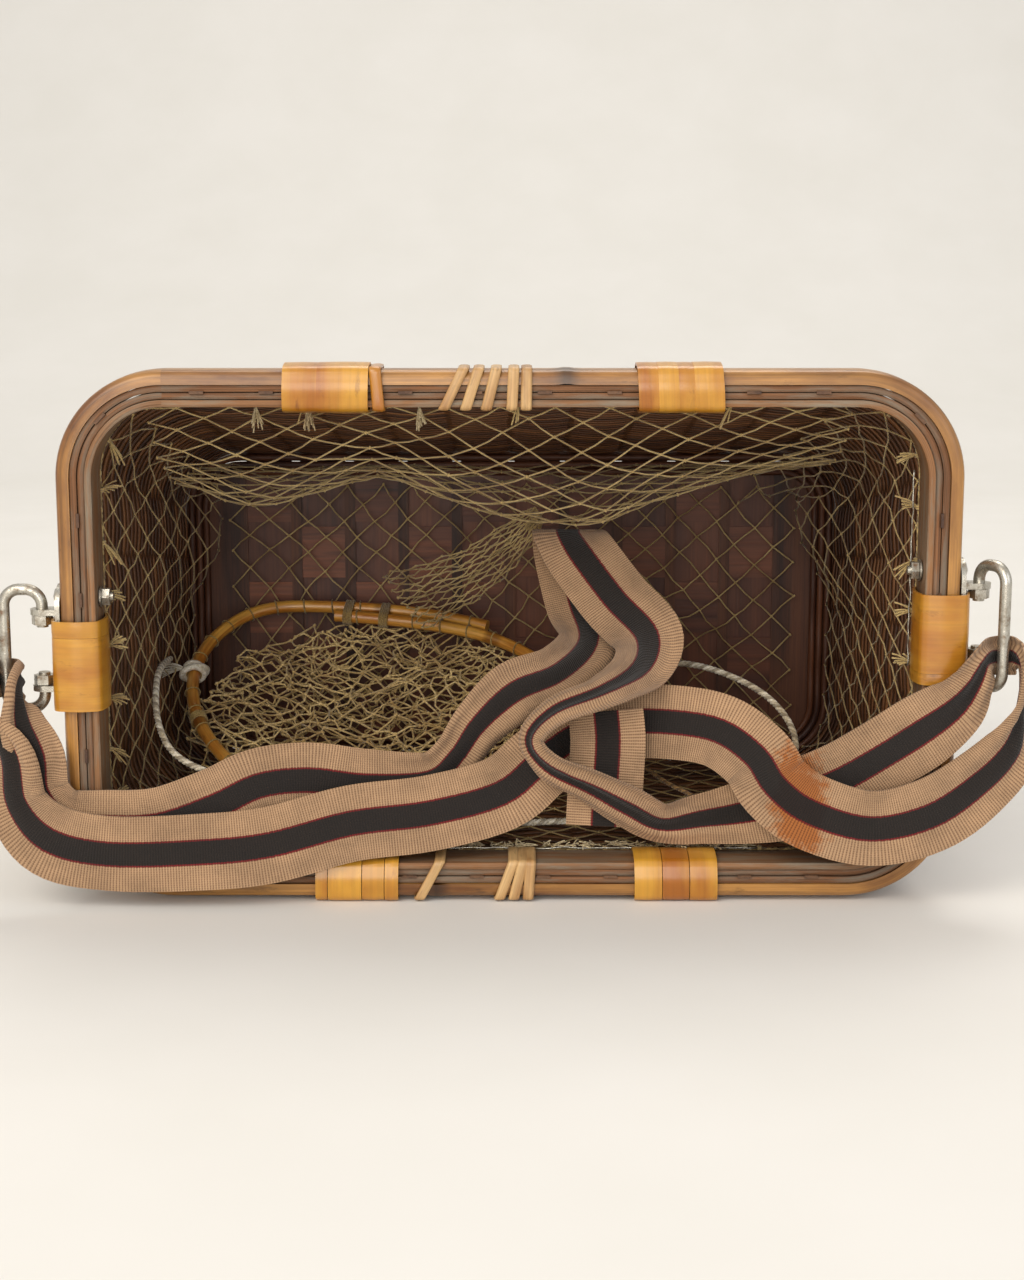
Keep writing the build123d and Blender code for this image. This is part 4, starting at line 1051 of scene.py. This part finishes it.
def liner(first, last, inset, billow):
    """Place points of a net that lines the walls between two shares of their length."""

    def place(u_share, v_share):
        depth = LINER_DEPTHS[0] + (LINER_DEPTHS[1] - LINER_DEPTHS[0]) * v_share
        section = wall_at(depth, inset)
        x, z, normal = at_turn(section, turn_at(section, first + (last - first) * u_share))
        # Low down the landing net fills the creel, so there the liner lies nearer to the wall.
        room = max(0.1, min(1.0, (z - 95) / 40))
        sway = billow * room * v_share * (0.9 + 0.6 * wave(u_share * 4, v_share * 3, first * 9))
        return spot(x, depth, z) - normal * max(0.0, sway)

    return place


class CREEL_OT_net(bpy.types.Operator):
    """Knot the net liner with its head rope, swag, panels and gathered part"""

    bl_idname = "creel.net"
    bl_label = "Net liner"

    def execute(self, context):
        sizes, colours = context.scene.creel_sizes, context.scene.creel_colours
        thick = sizes.twine / MM
        bar = sizes.mesh_bar / MM
        # Tarred cotton twine, faded to a dusty olive tan, stiff enough to keep its meshes open.
        cotton = twine("knotted_net_twine", shade(colours.net, 0.65), colours.net, 0.9)
        rng = Random(sizes.seed + 11)
        half_u, half_v = bar * 0.78, bar * 0.64

        work = bmesh.new()
        lowest = [Vector((x, z, 0)) for x, z in SWAG]

        def swag(u, v):
            x = u - SWAG_FLAT[0] / 2
            i = 0
            while i < len(SWAG) - 2 and SWAG[i + 1][0] < x:
                i += 1
            share = max(0.0, min(1.0, (x - SWAG[i][0]) / (SWAG[i + 1][0] - SWAG[i][0])))
            low = curve_between(lowest, i + share).y
            edge = 216.5 - 3.0 * max(0.0, abs(x) - 140) / 12
            # From the head rope it drops to its lowest line, then rises to the top of the base.
            profile = [Vector((27.0, edge, 0)), Vector((52.0, edge * 0.42 + low * 0.58, 0)),
                       Vector((96.0, low, 0)), Vector((150.0, low * 0.5 + 86, 0)),
                       Vector((224.0, 168.0, 0))]
            found = curve_between(profile, max(0.0, min(3.999, v / SWAG_FLAT[1] * 4)))
            fold = 1.6 * wave(x * 0.03, v * 0.02, 3)
            return spot(x, found.x, min(found.y + fold, 217.0 - (found.x - 27) * 0.2))

        netting(work, *SWAG_FLAT, half_u, half_v, swag, thick, rng)
        settle("net_swag_knotted", work, cotton, ["net_top_swag"], "net_twine")

        # Round the ends the net hangs in narrow upright meshes.
        wide, tall = FLOOR_FLAT
        for side, first, last in (("left", 0.775, 0.985), ("right", 0.275, 0.490)):
            work = bmesh.new()
            place = liner(first, last, 5.2, 22.0)
            girth = (last - first) * LINER_GIRTH
            netting(work, girth, tall, half_u * 0.82, half_v * 1.65,
                    lambda u, v: place(u / girth, v / tall), thick, rng, shake=1.3, slack=0.9)
            settle(f"net_{side}_knotted", work, cotton, [f"net_{side}_panel"], "net_twine")
        work = bmesh.new()
        place = liner(0.485, 0.78, 3.8, 1.0)
        netting(work, wide, tall, half_u, half_v * 1.2, lambda u, v: place(u / wide, v / tall),
                thick, rng)
        settle("net_floor_knotted", work, cotton, ["net_floor"], "net_twine")

        work = bmesh.new()

        def back(u, v):
            # It hangs slack, so its rows curve and crowd towards the left.
            bow = 7.0 * wave(u * 0.02, v * 0.02, 8)
            pull = Vector((wave(u * 0.012, v * 0.015, 3), wave(u * 0.012, v * 0.015, 6))) * 16
            x = -148 + u + pull.x * sin(pi * u / BACK_FLAT[0])
            z = 22 + v + pull.y * sin(pi * v / BACK_FLAT[1])
            return spot(x, 231.0 - abs(bow), z)

        netting(work, *BACK_FLAT, half_u * 0.85, half_v, back, thick, rng, slack=0.8)
        settle("net_back_knotted", work, cotton, ["net_back"], "net_twine")

        work = bmesh.new()
        middles = [spot(*place) for place in BUNCH]

        def gathered(u, v):
            # It is drawn in where it leaves the swag and fans out below.
            down = v / BUNCH_FLAT[1]
            middle = curve_between(middles, max(0.0, min(1.0, down)) * 3.999)
            spread = 4 + 15 * max(0.0, down) ** 0.8
            fan = (u / BUNCH_FLAT[0] - 0.5) * 2
            fold = 3.0 * sin(fan * 7) - 4.5 * cos(fan * 1.6)
            return middle + Vector((spread * fan * 0.6, fold, 4 - spread * fan * 0.8))

        netting(work, *BUNCH_FLAT, 3.3, 7.5, gathered, thick, rng, shake=1.0, slack=1.0)
        settle("net_bunch_gathered", work, cotton, ["net_bunch"], "net_twine")

        work = bmesh.new()
        section, inwards = rim_at(HEAD_ROPE_INSET), Vector((0, 1, 0))
        line = [place for place, _, _ in ring(section, HEAD_ROPE_DEPTH, 3.0)]
        laid_rope(work, line + line[:1], 1.45, lay=8.0, sides=5, closed=True)
        for k in range(HEAD_ROPE_TIES):
            # Short lashings tie the head rope to the inner hoop between the stakes.
            x, z, normal = at_turn(section, turn_at(section, (k + 0.5) / HEAD_ROPE_TIES))
            middle = spot(x, HEAD_ROPE_DEPTH, z)
            around = normal.cross(inwards)
            for step in (-0.5, 0.5):
                turn_round(work, middle + around * step, normal, inwards, 2.0, 0.0, 1.0, 4, 9)
            # On the ends the net's spare meshes are tied up in rough tufts.
            if abs(x) > 165 or k % 4 == 2:
                tuft(work, middle - normal, -normal * 0.8 + around * rng.uniform(-0.7, 0.7), rng,
                     9 if abs(x) > 165 else 4, 10.0, 0.15, 0.8)
        settle("net_head_rope_laid", work, cotton, ["net_head_rope"], "net_twine")

        # Where the head rope has worn through, its cotton stands out in pale tufts.
        frayed = twine("frayed_cotton", "#9a855c", "#e2d2aa", 1.0)
        work = bmesh.new()
        for x in (-109.0, -86.5, -39.0):
            tuft(work, spot(x, 24.0, 213.5), Vector((0.1, -0.1, -0.9)), rng, 22, 9.0, 0.05, 0.7)
        for x in (74.0, 88.5):
            tuft(work, spot(x, 22.0, 19.0), Vector((0.3, -0.6, 0.5)), rng, 18, 9.0, 0.12, 0.7)
        for k in range(60):
            root = spot(-32 + 140 * k / 60 + rng.uniform(-1, 1), 25.5, 18.2)
            tuft(work, root, Vector((rng.uniform(-1, 1), -0.3, 0.25)), rng, 3, 8.0, 0.06, 0.5)
        settle("head_rope_frayed", work, frayed, slot="net_twine")

        # A thin wire stiffens the head rope below and on the right.
        work = bmesh.new()
        kinks = [Vector((0.7 * wave(k * 0.3, 5), wave(k * 0.4, 2), 0.9 * wave(k * 0.35, 9)))
                 for k in range(41)]
        for start, end in ((spot(-32, 23.6, 17.6), spot(110, 23.6, 17.6)),
                           (spot(174, 24, 100), spot(174, 24, 186))):
            line = [start.lerp(end, k / 40) + kink for k, kink in enumerate(kinks)]
            sweep(work, carried(line), disc(0.38, 5))
        settle("head_rope_wire", work, steel(), slot="plate_steel")
        return {"FINISHED"}


class CREEL_OT_landing_net(bpy.types.Operator):
    """Bend the landing net's hoop, bind it and crumple its bag"""

    bl_idname = "creel.landing_net"
    bl_label = "Landing net"

    def execute(self, context):
        sizes = context.scene.creel_sizes
        rng = Random(sizes.seed + 23)
        rod = bamboo("bent_cane_rod", linear("#e3aa4c"), "UV", (14.0, 900.0, 1.0),
                     (22.0, 120.0, 1.0), "#b07838", 0.33, 0.35, 0.55)
        line = route("hoop_route", [in_hoop(*place) for place in HOOP_LINE])
        work = bmesh.new()
        places = carried(spaced(line, 3.0))
        # The cane swells and darkens at its nodes, one in every 58 steps along the rod.
        from_node = [abs(i % 58 - 29) for i in range(len(places))]
        sections = [disc(HOOP_ROD + 0.35 * max(0.0, 1 - away / 1.6) + 0.08 * wave(i * 0.15), 12)
                    for i, away in enumerate(from_node)]
        sweep(work, places, sections, lambda i: 0.35 if from_node[i] < 1.2 else 0.95)
        settle("landing_hoop_bent", work, rod, ["landing_net_hoop"], "hoop_bamboo", sharp=50)

        thread = twine("waxed_thread", "#7a6232", "#c0a464", 0.7)
        work = bmesh.new()
        slope = (in_hoop(0, 1) - in_hoop(0, 0)).normalized()
        # Each binding lies between two bends of the hoop, and two of them hold both of its ends.
        for i, j, share, double in ((1, 0, 0.5, True), (1, 0, 0.85, True), (3, 4, 0.5, False),
                                    (6, 7, 0.5, False), (9, 10, 0.5, False)):
            a, b = in_hoop(*HOOP_LINE[i]), in_hoop(*HOOP_LINE[j])
            along = (b - a).normalized()
            outwards = along.cross(Vector((1, 0, 0)).cross(slope)).normalized()
            outwards = outwards if outwards.dot(slope) > 0 else -outwards
            nearest = min(line, key=lambda place: (place - a.lerp(b, share)).length)
            reach = ROD_GAP + 0.6 if double else 0.0
            lift = along.cross(outwards)
            for turn in range(5):
                points = []
                for k in range(24):
                    angle = 2 * pi * k / 24
                    points.append(nearest + along * (turn - 2) * 0.95
                                  + outwards * (cos(angle) * 3.85 + (reach if cos(angle) > 0 else 0))
                                  + lift * sin(angle) * 3.85)
                sweep(work, carried(points, along, closed=True), disc(0.55, 5), closed=True)
        # The bag hangs by single loops of thread round the rod.
        for middle, side, out in places[4::5]:
            turn_round(work, middle, side, out, HOOP_ROD + 0.55, 0.5, 0.84, 4, 12)
        settle("hoop_bindings_wound", work, thread, ["hoop_bindings"], "thread")

        # The bag's finer cotton has kept more of its golden tan.
        bag = twine("landing_net_twine", "#a88644", "#f0d699", 0.9)
        work = bmesh.new()
        half_wide, half_long = BAG_FLAT[0] / 2, BAG_FLAT[1] / 2

        def kept(u, v):
            x, y = (u - half_wide) / (half_wide - 2), (v - half_long) / (half_long - 2)
            return x * x + y * y < 1

        # Three layers of it lie in a heap, each lower than the one before.
        for layer in range(3):

            def crumpled(u, v, layer=layer):
                x, y = (u - half_wide) / half_wide, (v - half_long) / half_long
                inside = max(0.0, 1 - x * x - y * y)
                droop = (4 + 9 * layer) * inside + 5 * max(0.0, wave(x * 4, y * 4, layer * 7 + 2))
                slip = Vector((wave(x * 3, y * 3, layer * 9), wave(x * 3, y * 3, layer * 9 + 4)))
                across = -62 + x * 97 + 11 * slip.x
                slope = 88 + y * 84 + 11 * slip.y
                hung = in_hoop(across, slope, -3.0 - droop - 2.5 * layer)
                # The creel's floor and its left wall hold it in.
                hung.z = max(13.5 + layer, hung.z)
                hung.x = max(-wall_at(hung.y - MOUTH_Y, 8.5)[0], hung.x)
                return hung

            netting(work, *BAG_FLAT, 6.6, 5.6, crumpled, sizes.twine / MM * 1.35, rng, kept,
                    shake=3.0, slack=2.4)
        settle("landing_bag_crumpled", work, bag, ["landing_net_bag"], "net_twine")
        return {"FINISHED"}


def strap_frames(stations, closed):
    """Smooth frames of the strap: middle, sideways, outwards and width, six to a station."""
    places = [spot(*station[:3]) for station in stations]
    count = len(stations)
    line, before_side = [], None
    for i, (_, _, _, face, width) in enumerate(stations):
        before = places[i - 1] if closed or i else places[0]
        after = places[(i + 1) % count] if closed or i < count - 1 else places[-1]
        along = (after - before).normalized()
        look = Vector(face)
        look = (look - along * look.dot(along)).normalized()
        side = along.cross(look)
        if before_side is not None and side.dot(before_side) < 0:
            side, look = -side, -look
        before_side = side
        line.append((places[i], side, look, float(width or STRAP_WIDTH)))
    if closed:
        flip = -1 if line[-1][1].dot(line[0][1]) < 0 else 1
        tail = [(p, s * flip, o * flip, w) for p, s, o, w in line[:2]]
        head = [(p, s * flip, o * flip, w) for p, s, o, w in line[-1:]]
        line = head + line + tail
    made = []
    last = count if closed else count - 1
    offset = 1 if closed else 0
    for k in range(last * 6 + 1):
        t = k / 6 + offset
        middle, side, look, width = (
            curve_between([entry[axis] for entry in line], t) for axis in range(4))
        ahead = curve_between([entry[0] for entry in line], min(len(line) - 1.001, t + 0.05))
        behind = curve_between([entry[0] for entry in line], max(0, t - 0.05))
        along = (ahead - behind).normalized()
        side = (side - along * side.dot(along)).normalized()
        out = along.cross(side)
        out = out if out.dot(look) > 0 else -out
        made.append((middle, side, out, width))
    return made


class CREEL_OT_strap(bpy.types.Operator):
    """Thread the striped shoulder strap through both bails"""

    bl_idname = "creel.strap"
    bl_label = "Shoulder strap"

    def execute(self, context):
        sizes, colours = context.scene.creel_sizes, context.scene.creel_colours
        cloth = webbing(colours.strap, sizes.stripe)
        whole = [station for run in STRAP.values() for station in run]
        frames = strap_frames(whole, True)
        first = 0
        for name, run in STRAP.items():
            stretch = frames[first * 6:(first + len(run)) * 6 + 1]
            self.piece(name, stretch, first * 0.025, cloth, sizes)
            first += len(run)
        self.piece("strap_tail", strap_frames(STRAP_TAIL, False), 4.1, cloth, sizes)
        return {"FINISHED"}

    def piece(self, name, frames, start, cloth, sizes):
        """One length of the strap: pleated where it is bunched, and crowned a little elsewhere."""
        half = sizes.webbing / MM / 2
        columns = 14
        places, sections = [], []
        for i, (middle, side, out, width) in enumerate(frames):
            squeeze = max(1.0, STRAP_WIDTH / width)
            fold = width / 10 * sqrt(squeeze ** 2 - 1) * 0.55
            fold = min(fold, 0.9 if width < 21 else 1.8)
            sag = 0.5 * wave(i * 0.21 + start * 40, 2.0)
            face, back = [], []
            for k in range(columns + 1):
                s = k / columns - 0.5
                lift = fold * sin(2 * pi * 2.5 * s + 0.6) + sag * (4 * s * s - 0.5) * 1.4
                thin = half * (0.55 if k in (0, columns) else 1.0)
                face.append((s * width, lift + thin))
                back.append((s * width, lift - thin))
            places.append((middle, side, out))
            sections.append(face + back[::-1])
        marks = [(k / columns - 0.5) * STRAP_WIDTH * MM for k in range(columns + 1)]
        work = bmesh.new()
        sweep(work, places, sections, start=start, marks=marks + marks[::-1] + marks[:1])
        blended = BLENDS.get(name)
        made = settle(name + "_woven", work, cloth, [name], "webbing",
                      None if blended else "creel", 60)
        if blended:
            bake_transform(made, "creel", *blended)


class CREEL_OT_stage(bpy.types.Operator):
    """Set the pale floor, the backdrop and the soft lamps"""

    bl_idname = "creel.stage"
    bl_label = "Stage"

    def execute(self, context):
        scene = context.scene
        scene.view_settings.view_transform = "Standard"

        # Matt painted board, nearly white, with a barely visible mottle.
        def paint(tree):
            return add(tree, "ShaderNodeValToRGB", {"Fac": streaks(tree, "Object", [6.0] * 3, 3.0)},
                       [(0.3, "#e1dfda"), (0.7, "#e5e3df")]).outputs["Color"]

        # The floor turns up behind in one sweep, so no edge shows.
        work = bmesh.new()
        bend = 1500
        line = [Vector((0, -4000, 0)), Vector((0, bend, 0))]
        line += [Vector((0, bend + bend * sin(a), bend - bend * cos(a)))
                 for a in [radians(6 * k) for k in range(1, 16)]]
        line.append(Vector((0, 2 * bend, 3 * bend)))
        grid = bmesh.ops.create_grid(work, x_segments=1, y_segments=len(line) - 1, size=1.0)["verts"]
        for vert in grid:
            here = line[round((vert.co.y + 1) / 2 * (len(line) - 1))]
            vert.co = Vector((vert.co.x * 5000, here.y, here.z)) * MM
        mesh = bpy.data.meshes.new("floor")
        work.to_mesh(mesh)
        work.free()
        mesh.shade_smooth()
        mesh.materials.append(surface("matt_white_board", paint, Roughness=0.85))
        ground = bpy.data.objects.new("floor", mesh)
        scene.collection.objects.link(ground)

        for name, place, size, power, colour in (
            ("key_lamp", (-1.5, -2.4, 2.3), 2.0, 66.0, "#fff6ea"),
            ("fill_lamp", (2.2, -2.0, 1.2), 2.0, 18.0, "#f2f5ff"),
            ("front_lamp", (-0.4, -3.2, 0.75), 1.6, 36.0, "#fff8f0"),
            ("back_lamp", (0.3, 1.2, 2.6), 1.6, 34.0, "#fffaf2"),
        ):
            light = bpy.data.lights.new(name, "AREA")
            light.shape = "SQUARE"
            light.size = size
            light.energy = power
            light.color = linear(colour)[:3]
            lamp = bpy.data.objects.new(name, light)
            scene.collection.objects.link(lamp)
            lamp.location = place
            aim = Vector((0, 0, 0.1)) - lamp.location
            lamp.rotation_euler = aim.to_track_quat("-Z", "Y").to_euler()

        world = bpy.data.worlds.new("pale_studio")
        world.use_nodes = True
        scene.world = world
        tree = world.node_tree
        path = add(tree, "ShaderNodeLightPath")
        # The walls of the room look brighter than the light that they give.
        seen = path.outputs["Is Camera Ray"]
        for ray in ("Is Glossy Ray", "Is Transmission Ray"):
            seen = add(tree, "ShaderNodeMath", {0: seen, 1: path.outputs[ray]},
                       operation="MAXIMUM").outputs[0]
        power = add(tree, "ShaderNodeMapRange", {"Value": seen, "To Min": 0.5, "To Max": 0.86})
        background = tree.nodes["Background"]
        background.inputs["Color"].default_value = linear("#f6f5f3")
        tree.links.new(power.outputs["Result"], background.inputs["Strength"])
        return {"FINISHED"}


OPERATORS = (
    CREEL_OT_camera, CREEL_OT_cords, CREEL_OT_walls, CREEL_OT_base, CREEL_OT_rim, CREEL_OT_sleeves,
    CREEL_OT_hardware, CREEL_OT_net, CREEL_OT_landing_net, CREEL_OT_strap, CREEL_OT_stage,
)


class CREEL_PT_panel(bpy.types.Panel):
    """Lists the steps that dress the creel"""

    bl_idname = "CREEL_PT_panel"
    bl_label = "Fishing creel"
    bl_space_type = "VIEW_3D"
    bl_region_type = "UI"
    bl_category = "Creel"

    def draw(self, context):
        for group in (context.scene.creel_sizes, context.scene.creel_colours):
            for name in group.__annotations__:
                self.layout.prop(group, name)
        for operator in OPERATORS:
            self.layout.operator(operator.bl_idname)


CLASSES = (CreelSizes, CreelColours, *OPERATORS, CREEL_PT_panel)


def register():
    """Register the add-on's classes and its settings."""
    for cls in CLASSES:
        bpy.utils.register_class(cls)
    bpy.types.Scene.creel_sizes = PointerProperty(type=CreelSizes)
    bpy.types.Scene.creel_colours = PointerProperty(type=CreelColours)


def unregister():
    """Remove the add-on's classes and its settings."""
    del bpy.types.Scene.creel_sizes
    del bpy.types.Scene.creel_colours
    for cls in reversed(CLASSES):
        bpy.utils.unregister_class(cls)


def main():
    """Build every piece in order."""
    register()
    bpy.ops.creel.camera()
    bpy.ops.creel.cords()
    bpy.ops.creel.walls()
    bpy.ops.creel.base()
    bpy.ops.creel.rim()
    bpy.ops.creel.sleeves()
    bpy.ops.creel.hardware()
    bpy.ops.creel.net()
    bpy.ops.creel.landing_net()
    bpy.ops.creel.strap()
    bpy.ops.creel.stage()


if __name__ == "__main__":
    main()
